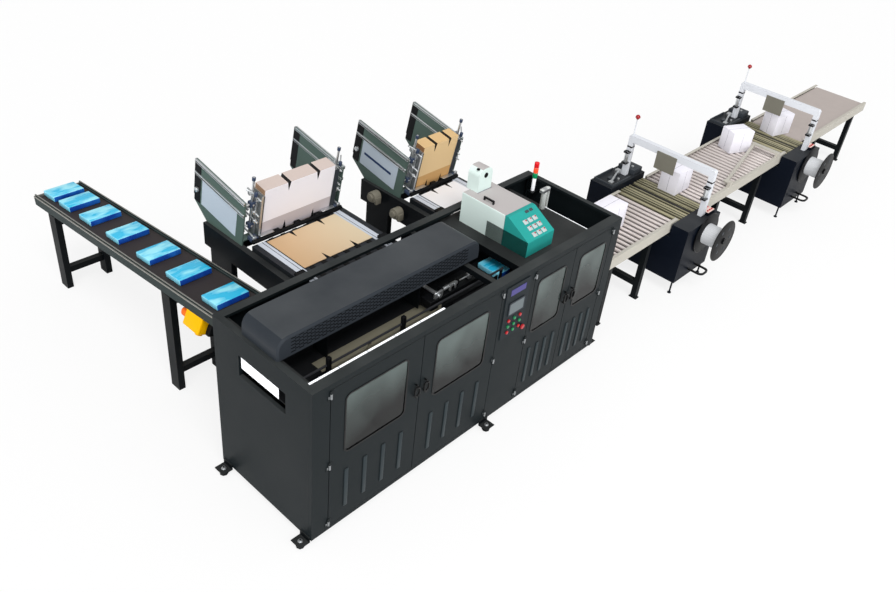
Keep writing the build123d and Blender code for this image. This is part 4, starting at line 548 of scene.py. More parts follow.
def rod(start, end, radius, sides=24, bevel=0.001):
    """A round bar between two points with its end edges broken."""
    start = Vector(start)
    along = Vector(end) - start
    turn = along.to_track_quat("Z", "Y")
    deselect()
    bpy.ops.mesh.primitive_cylinder_add(
        vertices=sides,
        radius=radius,
        depth=along.length,
        location=start + along / 2,
        rotation=turn.to_euler(),
    )
    piece = settle(bpy.context.object)
    if bevel:
        axis = along.normalized()
        pick(piece, lambda centre, normal: abs(normal.dot(axis)) > 0.99)
        bpy.ops.mesh.bevel(offset=bevel, segments=2, affect="EDGES")
        leave()
    return piece


def moved(piece, matrix):
    """The piece with a matrix applied to its mesh."""
    piece.data.transform(matrix)
    return piece


def twin(piece, offset):
    """A copy with its own mesh, moved by an offset."""
    copy = piece.copy()
    copy.data = piece.data.copy()
    copy.data.transform(Matrix.Translation(Vector(offset)))
    bpy.context.scene.collection.objects.link(copy)
    return copy


def joined(pieces):
    """Several pieces as one mesh."""
    deselect()
    for piece in pieces:
        piece.select_set(True)
    bpy.context.view_layer.objects.active = pieces[0]
    if len(pieces) > 1:
        bpy.ops.object.join()
    return bpy.context.object


def row_of(piece, offsets):
    """A piece repeated at offsets and joined, without the first one's own place."""
    copies = [twin(piece, offset) for offset in offsets]
    bpy.data.objects.remove(piece)
    return joined(copies)


def dress(piece, name, material, body="line"):
    """Names a finished piece, gives it a finish and lets it ride on a body."""
    hold(piece)
    piece.name = name
    piece.data.name = name
    piece.data.materials.clear()
    piece.data.materials.append(material)
    bpy.ops.object.shade_smooth_by_angle(angle=math.radians(40))
    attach(piece, body)
    return piece


black = finishes["handle_black"]
steel = finishes["bright_steel"]
print("modelling helpers ready")

# %% [markdown]
# The door handles are black oval rings. A torus facing forward has its upper and lower halves pulled
# apart, which leaves straight sides, and two short posts carry it.

# %% Door handles
RING_BAR = 0.015
RING_WIDTH = 0.062
POST_RADIUS = 0.0065
for number in range(1, 5):
    low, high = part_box(f"door_{number}_handle")
    middle = (low + high) / 2
    stretch = (high.z - low.z - RING_WIDTH) / 2
    deselect()
    bpy.ops.mesh.primitive_torus_add(
        location=(middle.x, low.y + RING_BAR / 2, middle.z),
        rotation=(math.pi / 2, 0, 0),
        major_radius=(RING_WIDTH - RING_BAR) / 2,
        minor_radius=RING_BAR / 2,
        major_segments=32,
        minor_segments=12,
    )
    ring = settle(bpy.context.object)
    for side in (-1, 1):
        pick(ring, lambda centre, normal: (centre.z - middle.z) * side > 0)
        bpy.ops.transform.translate(value=(0, 0, side * stretch / 2))
        leave()
    pieces = [ring]
    for end in (low.z + RING_BAR / 2, high.z - RING_BAR / 2):
        pieces.append(
            rod((middle.x, low.y + RING_BAR / 2, end), (middle.x, high.y, end), POST_RADIUS, 12)
        )
    handle = dress(joined(pieces), f"ring_handle_{number}", black, f"door_{number}")
    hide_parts(f"door_{number}_handle")
print("handles", 4)

# %% [markdown]
# A black rubber profile holds each pane. It is a plane with rounded corners, inset, opened and given its
# depth by an extrusion.


# %% Window gaskets
GLASS_LAP = 0.015
GASKET_OUT = 0.008
GASKET_WIDTH = 0.013
DOOR_FACE = -0.066


def open_frame(middle, width, height, radius, bar, depth):
    """A rounded rectangular frame facing the front."""
    deselect()
    bpy.ops.mesh.primitive_plane_add(size=1, location=middle, rotation=(math.pi / 2, 0, 0))
    piece = bpy.context.object
    piece.scale = (width, height, 1)
    settle(piece)
    pick(piece, lambda centre, normal: True)
    bpy.ops.mesh.bevel(offset=radius, segments=8, affect="VERTICES")
    bpy.ops.mesh.inset(thickness=bar)
    bpy.ops.mesh.delete(type="FACE")
    bpy.ops.mesh.select_all(action="SELECT")
    bpy.ops.mesh.extrude_region_move(TRANSFORM_OT_translate={"value": (0, depth, 0)})
    bpy.ops.mesh.select_all(action="SELECT")
    bpy.ops.mesh.normals_make_consistent(inside=False)
    leave()
    return piece


for number in range(1, 5):
    low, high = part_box(f"door_{number}_window")
    width = high.x - low.x - 2 * GLASS_LAP + 2 * GASKET_OUT
    height = high.z - low.z - 2 * GLASS_LAP + 2 * GASKET_OUT
    middle = Vector(((low.x + high.x) / 2, DOOR_FACE - 0.0035, (low.z + high.z) / 2))
    gasket = open_frame(middle, width, height, 0.053, GASKET_WIDTH, 0.006)
    dress(gasket, f"window_gasket_{number}", black, f"door_{number}")
print("gaskets", 4)

# %% [markdown]
# Hinges show as small bright barrels with leaves. The lower half stays on the frame and the upper half
# swings with the door, so each half rides on its own body.

# %% Hinge barrels
HINGE_EDGES = ((0.197, -1, 1), (1.922, 1, 2), (2.327, -1, 3), (3.412, 1, 4))
HINGE_LEVELS = (0.150, 0.740, 1.400)
HINGE_HALF = 0.022
hinge_steel = brushed("hinge_steel", srgb(150, 153, 155), 0.4)
HINGE_AXIS_Y = -0.075
for edge, outward, number in HINGE_EDGES:
    for body, side, way in (("line", outward, -1), (f"door_{number}", -outward, 1)):
        halves = []
        for height in HINGE_LEVELS:
            start = height + (0.0003 if way > 0 else 0.0)
            barrel = rod(
                (edge, HINGE_AXIS_Y, start), (edge, HINGE_AXIS_Y, start + way * HINGE_HALF), 0.0092, 16
            )
            inner = edge + side * 0.008
            outer = edge + side * 0.019
            leaf = block(
                (min(inner, outer), -0.0706, min(start, start + way * HINGE_HALF)),
                (max(inner, outer), -0.0690, max(start, start + way * HINGE_HALF)),
                0.0006,
            )
            halves += [barrel, leaf]
        dress(joined(halves), f"hinge_halves_{number}_{body}", hinge_steel, body)
print("hinges", len(HINGE_EDGES) * len(HINGE_LEVELS))

# %% [markdown]
# The hood breathes through staggered rows of punched slots along both long sides. One slot is modelled
# and copied, and the rows that the model already cuts fall on the same pitch. Each slot is a near-black
# patch on the hood's faces: painted shade for the dark inside the hole.

# %% Hood slots
hood_low, hood_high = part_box("hood_cover")
hood_middle = (hood_low + hood_high) / 2
SLOT_PITCH_X = 0.066
SLOT_PITCH_Z = 0.014
SLOT_ROWS = range(-4, 5)
SLOT_COLUMNS = range(-13, 13)
slot = block((-0.021, -0.0006, -0.0035), (0.021, 0.0006, 0.0035), 0.0006)
offsets = []
for level in SLOT_ROWS:
    stagger = 0.5 if level % 2 else 0.0
    for column in SLOT_COLUMNS:
        for face in (hood_low.y - 0.0001, hood_high.y + 0.0001):
            across = hood_middle.x + (column + stagger) * SLOT_PITCH_X
            offsets.append((across, face, hood_middle.z + level * SLOT_PITCH_Z))
# Painted shade: the slot patches are near-black.
dress(row_of(slot, offsets), "hood_slots", finishes["painted_shade_black"])
print("hood slots", len(offsets))

# %% [markdown]
# The rollers are zinc plated tubes on thin axles. One is modelled at the origin, then copied along both
# stretches of the conveyor, with their tops where the model has them. A near-black sheet below each stretch
# is painted shade, so that the gaps look black.

# %% Outfeed rollers
ROLLER_RADIUS = 0.020
ROLLER_PITCH = 0.078
ROLLER_LEVEL = 0.763
LINE_MIDDLE = 0.494
ROLLER_HALF = 0.3757
STRETCHES = ((3.5273, 5.1117), (5.6573, 7.6917))
tube = rod((0, -ROLLER_HALF + 0.004, 0), (0, ROLLER_HALF - 0.004, 0), ROLLER_RADIUS, 28, 0.002)
axle = rod((0, -ROLLER_HALF, 0), (0, ROLLER_HALF, 0), 0.007, 10, 0.0)
roller = joined([tube, axle])
offsets = []
for start, end in STRETCHES:
    count = int((end - start) / ROLLER_PITCH)
    first = (start + end - (count - 1) * ROLLER_PITCH) / 2
    offsets += [(first + index * ROLLER_PITCH, LINE_MIDDLE, ROLLER_LEVEL) for index in range(count)]
rollers = dress(row_of(roller, offsets), "conveyor_rollers", finishes["roller_zinc"])
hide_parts("outfeed_rollers")
# Painted shade: a near-black sheet under each stretch, where the gaps between rollers look black.
shade_sheets = [block((start, 0.1190, 0.6900), (end, 0.8690, 0.6930), 0.0008) for start, end in STRETCHES]
dress(joined(shade_sheets), "roller_shade_sheets", finishes["painted_shade_black"])
print("rollers", len(offsets))

# %% [markdown]
# Small parts repeat many times on a line like this. One more helper joins the pieces of a group, turns them
# into a tilted frame where needed and dresses them, so that each group takes one call.


# %% Finishes and helper for the added pieces
def made(name, finish, pieces, body="line", matrix=None):
    """Joins pieces into one, puts it into a tilted frame and dresses it."""
    piece = joined(pieces)
    if matrix:
        moved(piece, matrix)
    return dress(piece, name, finishes[finish], body)


def along_x(low_x, high_x, y, z, radius, sides=20):
    """A round bar along X."""
    return rod((low_x, y, z), (high_x, y, z), radius, sides, 0.0008)


# Painted highlight: the ribs are painted lighter than the door, for the light on their flanks.
finishes["rib_paint_with_highlight"] = painted("rib_paint_with_highlight", srgb(48, 55, 58), 0.34)
finishes["deep_black"] = painted("deep_black", srgb(19, 20, 22), 0.55, 0.1, 0.0, 0.05, 0.12)
finishes["clamp_blue"] = painted("clamp_blue", srgb(58, 68, 88), 0.35)
finishes["dark_grey"] = painted("dark_grey", srgb(58, 62, 67), 0.45)
finishes["pale_panel"] = painted("pale_panel", srgb(176, 188, 200), 0.4, 0.06, 0.0)
finishes["navy_strip"] = painted("navy_strip", srgb(44, 60, 94), 0.4, 0.06, 0.0)
finishes["motor_beige"] = painted("motor_beige", srgb(122, 118, 106), 0.5, 0.1, 0.0)
finishes["key_white"] = moulded("key_white", srgb(176, 188, 188), 0.4)
finishes["violet_plate"] = moulded("violet_plate", srgb(48, 40, 114), 0.35)
finishes["display_grey"] = moulded("display_grey", srgb(84, 94, 98), 0.35)
finishes["display_dark"] = moulded("display_dark", srgb(62, 72, 76), 0.2)
finishes["lamp_red"] = moulded("lamp_red", srgb(206, 26, 34), 0.25, 0.25)
finishes["lamp_orange"] = moulded("lamp_orange", srgb(250, 84, 52), 0.25, 0.3)
finishes["lamp_green"] = moulded("lamp_green", srgb(16, 140, 88), 0.25, 0.15)
finishes["button_green"] = moulded("button_green", srgb(20, 118, 70), 0.3)
finishes["button_red"] = moulded("button_red", srgb(172, 26, 34), 0.3)
finishes["beacon_red"] = moulded("beacon_red", srgb(150, 18, 26), 0.2)
finishes["key_pink"] = painted("key_pink", srgb(232, 204, 194), 0.4, 0.05, 0.0)
finishes["plate_brown"] = painted("plate_brown", srgb(116, 114, 104), 0.4, 0.2, 0.0)
finishes["table_rod"] = brushed("table_rod", srgb(168, 162, 132), 0.4, (60.0, 1.0, 60.0), 0.3)
finishes["drive_orange"] = painted("drive_orange", srgb(226, 104, 36), 0.4, 0.06, 0.0)
finishes["seam_grey"] = moulded("seam_grey", srgb(122, 120, 134), 0.7)
finishes["dark_plate_tint"] = tinted_glass("dark_plate_tint", srgb(10, 26, 24), srgb(30, 50, 46), 0.66)
finishes["strip_pale"] = moulded("strip_pale", srgb(196, 202, 212), 0.4)
finishes["chrome"] = brushed("chrome", srgb(216, 220, 217), 0.3, (60.0, 60.0, 1.0), 0.3)
finishes["rail_grey"] = brushed("rail_grey", srgb(150, 148, 142), 0.4, (60.0, 1.0, 60.0), 0.5)
print("finishes", len(finishes))

# %% [markdown]
# Each door is stiffened by four pressed ribs. A bar with round edges lies over the flat rib of the model, as
# the press tool leaves it, and its rounded flanks catch the light. The bars are painted lighter than the door
# as a painted highlight.

# %% Door ribs
DOOR_SPANS = ((0.203, 1.0565), (1.0625, 1.916), (2.333, 2.8665), (2.8725, 3.406))
RIB_SPREAD = 4.75
for number, (left, right) in enumerate(DOOR_SPANS, start=1):
    pitch = (right - left) / RIB_SPREAD
    rib = block((-0.020, -0.0735, 0.222), (0.020, -0.0655, 0.608), 0.0065, 3)
    offsets = [((left + right) / 2 + step * pitch, 0, 0) for step in (-1.5, -0.5, 0.5, 1.5)]
    dress(row_of(rib, offsets), f"pressed_ribs_{number}", finishes["rib_paint_with_highlight"], f"door_{number}")
print("ribs", 4 * len(DOOR_SPANS))

# %% [markdown]
# A white plate stands behind the slot of the left end panel, and a thin white strip edges the deck.

# %% White plates of the cabinet
slot_plate = block((0.056, 0.290, 1.204), (0.059, 0.700, 1.306), 0.0008)
deck_strip = block((3.2495, -0.02, 1.4003), (3.2565, 0.62, 1.4043), 0.0008)
# These white plates glow through their finish: painted light.
made("white_plates", "white_plastic", [slot_plate, deck_strip])
lamp_caps = [
    block((0.0973 + step * 0.252 - 0.005, 0.0190, 1.4765), (0.0973 + step * 0.252 + 0.001, 0.0376, 1.4955), 0.0008)
    for step in range(1, 5)
]
made("lamp_joints", "dark_grey", lamp_caps)
print("white plates", 2)

# %% [markdown]
# Steel feet stand on threaded stems: a hexagonal nut clamps each bracket, with a washer under it.

# %% Foot nuts
FEET = ((0.0, 0.0), (0.0, 0.933), (3.574, 0.0), (3.574, 0.933), (1.922, -0.113), (1.922, 1.051))
washer = rod((0, 0, 0.0520), (0, 0, 0.0545), 0.020, 24, 0.0008)
nut = rod((0, 0, 0.0545), (0, 0, 0.0665), 0.0155, 6, 0.0015)
offsets = [(x, y, 0) for x, y in FEET]
dress(row_of(joined([washer, nut]), offsets), "foot_nuts", steel)
print("nuts", len(FEET))

# %% [markdown]
# The machinery in front of the hood: a bearing shaft, an air cylinder with its clamps and some fixing blocks
# between dark guide bars. Dark parts and bright parts are two groups, because each group has one finish.

# %% Feed machinery under the hood
bright = [
    rod((1.60, 0.285, 1.335), (1.60, 0.470, 1.335), 0.016, 24),
    along_x(1.66, 1.84, 0.335, 1.342, 0.017, 24),
    along_x(1.84, 1.97, 0.335, 1.342, 0.006),
    block((1.555, 0.300, 1.300), (1.645, 0.318, 1.372), 0.003),
    block((1.960, 0.318, 1.318), (1.995, 0.352, 1.366), 0.003),
    rod((1.72, 0.300, 1.330), (1.72, 0.300, 1.395), 0.011, 16),
    rod((1.78, 0.300, 1.330), (1.78, 0.300, 1.380), 0.008, 16),
    along_x(0.30, 2.05, 0.150, 1.300, 0.007),
]
made("feed_bright_parts", "bright_steel", bright)
dark = [
    block((1.500, 0.290, 1.254), (2.060, 0.400, 1.318), 0.004),
    block((1.650, 0.318, 1.322), (1.668, 0.352, 1.364), 0.002),
    block((1.830, 0.318, 1.322), (1.848, 0.352, 1.364), 0.002),
    block((0.420, 0.215, 1.1803), (0.452, 0.247, 1.400), 0.003),
    block((1.130, 0.215, 1.1803), (1.162, 0.247, 1.400), 0.003),
    block((1.700, 0.100, 1.1803), (2.100, 0.240, 1.260), 0.006),
    rod((1.90, 0.120, 1.260), (1.90, 0.120, 1.330), 0.028, 24),
    block((2.2875, 0.264, 1.120), (2.760, 0.574, 1.190), 0.004),
    block((0.080, 0.060, 1.1803), (0.330, 0.240, 1.290), 0.006),
]
made("feed_dark_parts", "deep_black", dark)
print("machinery", len(bright) + len(dark))

# %% [markdown]
# The wrapped reams are crisp packs with soft corners. They lie across the belt, so the whole row is made on a
# level conveyor and then tilted with it. One more ream waits in the cabinet.

# %% Reams
INFEED_TILT = math.radians(-5.8)
INFEED_FRAME = Matrix.Translation((0.262, 1.0132, 1.190)) @ Matrix.Rotation(INFEED_TILT, 4, "X")
INFEED_LENGTH = 3.240
REAMS_FROM_END = (0.028, 0.323, 0.708, 1.180, 1.676, 2.126, 2.630)
ream = block((0.0855, -0.212, -0.0137), (0.3825, 0.0, 0.0383), 0.008, 3)
packs = moved(row_of(ream, [(0, INFEED_LENGTH - place, 0) for place in REAMS_FROM_END]), INFEED_FRAME)
waiting = block((2.2885, 0.268, 1.1903), (2.444, 0.500, 1.2423), 0.008, 3)
reams = made("wrapped_reams", "ream_wrap", [packs, waiting])
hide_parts("ream_packs")
print("reams", len(REAMS_FROM_END) + 1)

# %% [markdown]
# Bright strips cap the belt's guide bars and edge the side frames. The drive hangs beside the low flange: a
# rounded yellow gearbox with an orange motor end.

# %% Infeed trim and drive
TRIM_END = INFEED_LENGTH - 0.003
caps = []
for side in (0.0165, 0.4515):
    caps.append(block((side - 0.0056, 0.0, 0.0138), (side + 0.0056, TRIM_END, 0.0156), 0.0004))
for low, high in ((-0.0008, 0.0085), (0.4595, 0.4688)):
    caps.append(block((low, 0.0, -0.010), (high, TRIM_END, 0.0008), 0.0004))
caps.append(block((0.0, TRIM_END - 0.012, -0.030), (0.468, TRIM_END, 0.0008), 0.001))
made("infeed_trim", "rail_grey", caps, matrix=INFEED_FRAME)
HANGING = Matrix.Translation((0.285, 1.600, 0.965)) @ Matrix.Rotation(math.radians(24), 4, "Y")
gearbox = [
    block((-0.050, -0.105, -0.078), (0.080, 0.105, 0.078), 0.016, 4),
    rod((0.0, -0.060, -0.080), (0.0, -0.060, -0.092), 0.030, 28, 0.003),
]
made("gearbox_cover", "drive_yellow", gearbox, matrix=HANGING)
motor_end = [
    rod((0.0, 0.100, 0.0), (0.0, 0.165, 0.0), 0.040, 32, 0.006),
    rod((0.0, 0.160, 0.0), (0.0, 0.182, 0.0), 0.026, 24, 0.004),
]
made("drive_motor_end", "drive_orange", motor_end, matrix=HANGING)
motor_foot = [
    block((0.020, -0.150, -0.070), (0.110, -0.098, 0.060), 0.010, 3),
    block((-0.045, 0.090, 0.050), (0.050, 0.160, 0.100), 0.006, 2),
]
made("drive_bracket", "deep_black", motor_foot, matrix=HANGING)
print("infeed trim", len(caps))

# %% [markdown]
# Round caps cover the panel's buttons, in the colours that such a panel has: red to stop, green to start.
# The plate above the screen stays plain.

# %% Operator panel
PANEL_MIDDLE = 2.107
PANEL_FACE = -0.074
BUTTON_ROWS = ((1.098, "RGR"), (1.040, "GGG"), (0.982, "RGR"))
BUTTON_COLOURS = {"R": "button_red", "G": "button_green"}
caps = {"R": [], "G": []}
for height, row in BUTTON_ROWS:
    for column, key in zip((-0.072, 0.0, 0.072), row):
        spot = Vector((PANEL_MIDDLE + column, PANEL_FACE, height))
        caps[key].append(rod(spot, spot + Vector((0, -0.0132, 0)), 0.0143, 24, 0.003))
stop = Vector((2.222, PANEL_FACE, 0.959))
caps["R"].append(rod(stop + Vector((0, -0.012, 0)), stop + Vector((0, -0.0275, 0)), 0.0225, 28, 0.005))
for key, colour in BUTTON_COLOURS.items():
    made(f"{colour}_caps", colour, caps[key])
frame_piece = open_frame(Vector((PANEL_MIDDLE, -0.0835, 1.215)), 0.196, 0.126, 0.004, 0.011, 0.004)
made("screen_frame", "dark_grey", [frame_piece])
glass = block((PANEL_MIDDLE - 0.087, -0.0828, 1.163), (PANEL_MIDDLE + 0.087, -0.0818, 1.267), 0.0004)
made("screen_glass", "display_grey", [glass])
plate = block((PANEL_MIDDLE - 0.092, -0.0765, 1.345), (PANEL_MIDDLE + 0.092, -0.0735, 1.402), 0.001)
made("plain_plate", "violet_plate", [plate])
print("buttons", len(caps["R"]) + len(caps["G"]))

# %% [markdown]
# The glue unit's sloping face carries nine keys and two displays. They are laid out flat and then turned
# onto the slope by one matrix, whose columns are the slope's own axes.

# %% Glue unit
SLOPE = Matrix(((1, 0, 0, 2.6295), (0, 0.8652, -0.5013, 0.2645), (0, 0.5013, 0.8652, 1.6125), (0, 0, 0, 1)))
key = block((-0.024, -0.021, 0.0002), (0.024, 0.021, 0.0045), 0.002, 2)
dot = rod((0, 0, 0.0042), (0, 0, 0.0062), 0.0075, 16, 0.0008)
grid = [(0.011 + 0.061 * column, -0.030 + 0.063 * row, 0) for column in (-1, 0, 1) for row in (-1, 0, 1)]
dots = row_of(dot, [(x + 0.013, y + 0.010, 0) for x, y, z in grid])
made("glue_keys", "key_white", [row_of(key, grid)], matrix=SLOPE)
made("glue_key_dots", "button_red", [dots], matrix=SLOPE)
displays = [
    block((0.018, 0.098, 0.0002), (0.062, 0.122, 0.004), 0.001),
    block((0.074, 0.098, 0.0002), (0.112, 0.122, 0.004), 0.001),
]
made("glue_displays", "display_dark", displays, matrix=SLOPE)
# A thin dark see-through plate darkens a band across the glue unit's teal and white faces.
see_through_sheet = block((2.4535, 0.150, 1.401), (2.4565, 0.592, 1.5485), 0.001)
made("dark_see_through_plate", "dark_plate_tint", [see_through_sheet])
ports = [
    rod((2.632, 0.8025, 1.824), (2.632, 0.799, 1.824), 0.0235, 28, 0.001),
    rod((2.566, 0.840, 1.878), (2.566, 0.840, 1.8885), 0.014, 20, 0.001),
]
made("pump_ports", "deep_black", ports)
seams = [
    block((2.4562, 0.4135, 1.4005), (2.8028, 0.4150, 1.6808), 0.0004),
    block((2.540, 0.7955, 1.6803), (2.724, 0.7985, 1.6835), 0.0004),
]
made("glue_seams", "seam_grey", seams)
print("keys", len(grid))

# %% [markdown]
# The signal tower has three smooth lenses on its pole. The regulator beside it gets its bowl, a filter tube
# and a gauge.

# %% Signal lamps and regulator
for name, low in (("lamp_green", 1.505), ("lamp_orange", 1.5585), ("lamp_red", 1.612)):
    lens = rod((3.447, 0.864, low), (3.447, 0.864, low + 0.0515), 0.0232, 32, 0.004)
    made(f"tower_{name}", name, [lens])
pole = rod((3.447, 0.864, 1.374), (3.447, 0.864, 1.505), 0.0172, 28, 0.001)
# The pole's white finish glows: painted light.
made("tower_pole", "white_plastic", [pole])
regulator = [
    rod((3.212, 0.574, 1.4005), (3.212, 0.574, 1.577), 0.0252, 32, 0.004),
    rod((3.262, 0.566, 1.4005), (3.262, 0.566, 1.590), 0.0105, 20, 0.002),
    rod((3.172, 0.574, 1.575), (3.172, 0.574, 1.6045), 0.019, 24, 0.003),
    rod((3.252, 0.574, 1.575), (3.252, 0.574, 1.6045), 0.019, 24, 0.003),
]
made("regulator_bowl", "chrome", regulator)
# The regulator knob takes the red lamp finish, so it glows as painted light, though it is no lamp.
made("regulator_knob", "lamp_red", [rod((3.262, 0.610, 1.4005), (3.262, 0.610, 1.452), 0.011, 20, 0.003)])
print("lenses", 3)

# %% [markdown]
# Both feeders hold the same fittings at different widths, so one loop makes them. Everything that leans with
# the stack is placed in the feeder's own frame, which is tilted by 10.5 degrees.

# %% Feeder fittings
FEEDERS = (
    (1, (1.382, 1.772, 1.352), 1.026, 0.715, (1.208, 1.682)),
    (2, (2.787, 1.549, 1.352), 0.716, 0.440, (0.985, 1.459)),
)
FEEDER_TILT = math.radians(10.5)
STACK_MIDDLE = 0.063
SCREW_TOP = 0.590
RAIL_BANDS = ((0.3640, 0.3792), (0.3500, 0.3560), (0.2480, 0.2618), (0.2342, 0.2380))
for number, origin, width, blank, flat in FEEDERS:
    leaning = Matrix.Translation(origin) @ Matrix.Rotation(FEEDER_TILT, 4, "X")
    tag = f"feeder_{number}"
    face = width / 2 - 0.006
    strips = []
    for side in (-1, 1):
        for near, far in ((face - 0.001, face + 0.0115), (face - 0.0145, face - 0.0115)):
            inner, outer = sorted((side * near, side * far))
            for low, high in RAIL_BANDS:
                strips.append(block((inner, 0.0415, low), (outer, 0.6975, high), 0.0008))
    made(f"{tag}_rail_strips", "bright_steel", strips, matrix=leaning)
    ends = []
    for side in (-1, 1):
        inner, outer = sorted((side * (face - 0.0135), side * (face + 0.004)))
        ends.append(block((inner, 0.620, -0.035), (outer, 0.6990, 0.347), 0.002))
        ends.append(block((inner, 0.6990, 0.020), (outer, 0.7060, 0.375), 0.002))
        inner, outer = sorted((side * (face - 0.001), side * (face + 0.0105)))
        ends.append(block((inner, 0.0415, 0.3565), (outer, 0.6975, 0.3635), 0.0005))
        ends.append(block((inner, 0.0415, 0.2385), (outer, 0.6975, 0.2475), 0.0005))
    made(f"{tag}_dark_ends", "deep_black", ends, matrix=leaning)
    knob = rod((-face - 0.0045, 0.650, 0.100), (-face - 0.030, 0.650, 0.100), 0.022, 24, 0.004)
    made(f"{tag}_end_knob", "bright_steel", [knob], matrix=leaning)
    panel = block((-face - 0.002, 0.130, -0.026), (-face + 0.001, 0.600, 0.226), 0.001)
    made(f"{tag}_side_panel", "pale_panel", [panel], matrix=leaning)
    screws = []
    clamps = []
    bolts = []
    for side in (-1, 1):
        guide = side * (blank / 2 + 0.0043)
        wall = side * (width / 2 - 0.0183)
        middle = (guide + wall) / 2
        screws.append(rod((middle, STACK_MIDDLE, 0.110), (middle, STACK_MIDDLE, SCREW_TOP), 0.0098, 20))
        clamps.append(rod((middle, STACK_MIDDLE, SCREW_TOP - 0.030), (middle, STACK_MIDDLE, SCREW_TOP), 0.015, 16, 0.003))
        for height in (0.118, 0.332):
            screws.append(along_x(min(guide, wall), max(guide, wall), STACK_MIDDLE, height, 0.0098))
            low = Vector((middle - 0.024, STACK_MIDDLE - 0.024, height - 0.024))
            clamps.append(block(low, low + Vector((0.048, 0.048, 0.048)), 0.006, 2))
            bolt = Vector((middle, STACK_MIDDLE - 0.0235, height))
            bolts.append(rod(bolt, bolt + Vector((0, -0.007, 0)), 0.010, 6, 0.001))
            knob = guide + side * 0.020
            bolts.append(along_x(min(guide, knob), max(guide, knob), STACK_MIDDLE, height, 0.017, 24))
        for step, height in enumerate((0.045, 0.200, 0.262, 0.410)):
            across = middle + side * (0.012 - 0.010 * step)
            screws.append(rod((across, -0.030, height), (across, 0.150, height + 0.012), 0.0075, 16))
            low = Vector((across - 0.016, -0.036 + 0.03 * step, height - 0.014))
            bolts.append(block(low, low + Vector((0.032, 0.022, 0.030)), 0.003))
            wheel = Vector((across + side * 0.026, 0.085, height + 0.016))
            bolts.append(rod(wheel, wheel + Vector((side * 0.009, 0, 0)), 0.020, 24, 0.002))
        lever = Vector((middle, 0.020, 0.452))
        screws.append(rod(lever, lever + Vector((side * 0.052, 0.060, 0.030)), 0.0065, 16))
        clamps.append(rod(lever + Vector((0, 0, -0.02)), lever + Vector((0, 0, 0.02)), 0.015, 20, 0.003))
        low = Vector((middle - 0.034, -0.030, 0.000))
        clamps.append(block(low, low + Vector((0.068, 0.066, 0.034)), 0.005, 2))
    made(f"{tag}_screws", "bright_steel", screws + bolts, matrix=leaning)
    made(f"{tag}_clamps", "clamp_blue", clamps, matrix=leaning)
    edge = blank / 2
    bright = [
        block((-edge - 0.030, -0.006, 0.0), (-edge - 0.0015, -0.0025, 0.427), 0.0008),
        block((-edge - 0.052, 0.030, 0.02), (-edge - 0.040, 0.100, 0.400), 0.001),
        block((edge + 0.060, 0.020, 0.02), (edge + 0.072, 0.110, 0.380), 0.001),
    ]
    made(f"{tag}_bright_guides", "bright_steel", bright, matrix=leaning)
    dark = [
        block((edge + 0.0015, -0.006, 0.0), (edge + 0.050, -0.0025, 0.427), 0.0008),
        block((-edge - 0.010, -0.0085, 0.0), (-edge - 0.002, -0.0062, 0.427), 0.0008),
    ]
    made(f"{tag}_dark_guides", "dark_grey", dark, matrix=leaning)
    table = (width - 0.0566) / 2
    rear = origin[1] - 0.062
    strips = []
    for side in (-1, 1):
        for near, far in ((0.006, 0.030), (0.036, 0.078)):
            low, high = sorted((side * (edge + near), side * (edge + far)))
            strips.append(block((origin[0] + low, 1.030, 1.3442), (origin[0] + high, rear, 1.3468), 0.0008))
    made(f"{tag}_table_strips", "strip_pale", strips)
    shelves = []
    for side in (-1, 1):
        low, high = sorted((side * (edge - 0.105), side * (edge + 0.030)))
        shelves.append(block((origin[0] + low, rear + 0.012, 1.3885), (origin[0] + high, rear + 0.050, 1.3925), 0.001))
    made(f"{tag}_corner_shelves", "bright_steel", shelves)
    mat = block(
        (origin[0] - edge + 0.004, max(flat[0], 1.006) + 0.004, 1.34905),
        (origin[0] + edge - 0.004, flat[1] - 0.004, 1.3492),
        0.0,
    )
    rollers = [along_x(origin[0] - table + 0.02, origin[0] + table - 0.02, rear + 0.018, 1.363, 0.0185, 24), mat]
    for step in (-0.3, 0.0, 0.3):
        x = origin[0] + step * blank
        rollers.append(block((x - 0.03, rear + 0.010, 1.352), (x + 0.03, rear + 0.052, 1.3865), 0.004))
    for low in (-table + 0.004, table - 0.094):
        rollers.append(block((origin[0] + low, 1.060, 1.3445), (origin[0] + low + 0.090, 1.190, 1.3690), 0.004))
    made(f"{tag}_feed_rollers", "deep_black", rollers)
print("feeders", len(FEEDERS))

# %% [markdown]
# The second feeder carries two small gear motors on its left beam, and a dark slot runs along its side panel.

# %% Gear motors
motors = []
for y, z in ((1.845, 1.235), (1.545, 1.200)):
    motors.append(rod((2.4012, y, z), (2.318, y, z), 0.052, 32, 0.006))
    motors.append(rod((2.320, y, z), (2.296, y, z), 0.034, 24, 0.004))
    motors.append(block((2.330, y - 0.060, z - 0.062), (2.392, y - 0.030, z + 0.010), 0.005, 2))
made("gear_motors", "motor_beige", motors)
slot_strip = block((-0.3555, 0.200, 0.092), (-0.3535, 0.560, 0.116), 0.0006)
leaning = Matrix.Translation(FEEDERS[1][1]) @ Matrix.Rotation(FEEDER_TILT, 4, "X")
made("feeder_2_panel_slot", "navy_strip", [slot_strip], matrix=leaning)
print("gear motors", 2)

# %% [markdown]
# A packed case is a board box with a taped seam across its top and down its ends. One case is made at the
# origin and then turned and moved to each of its four places.

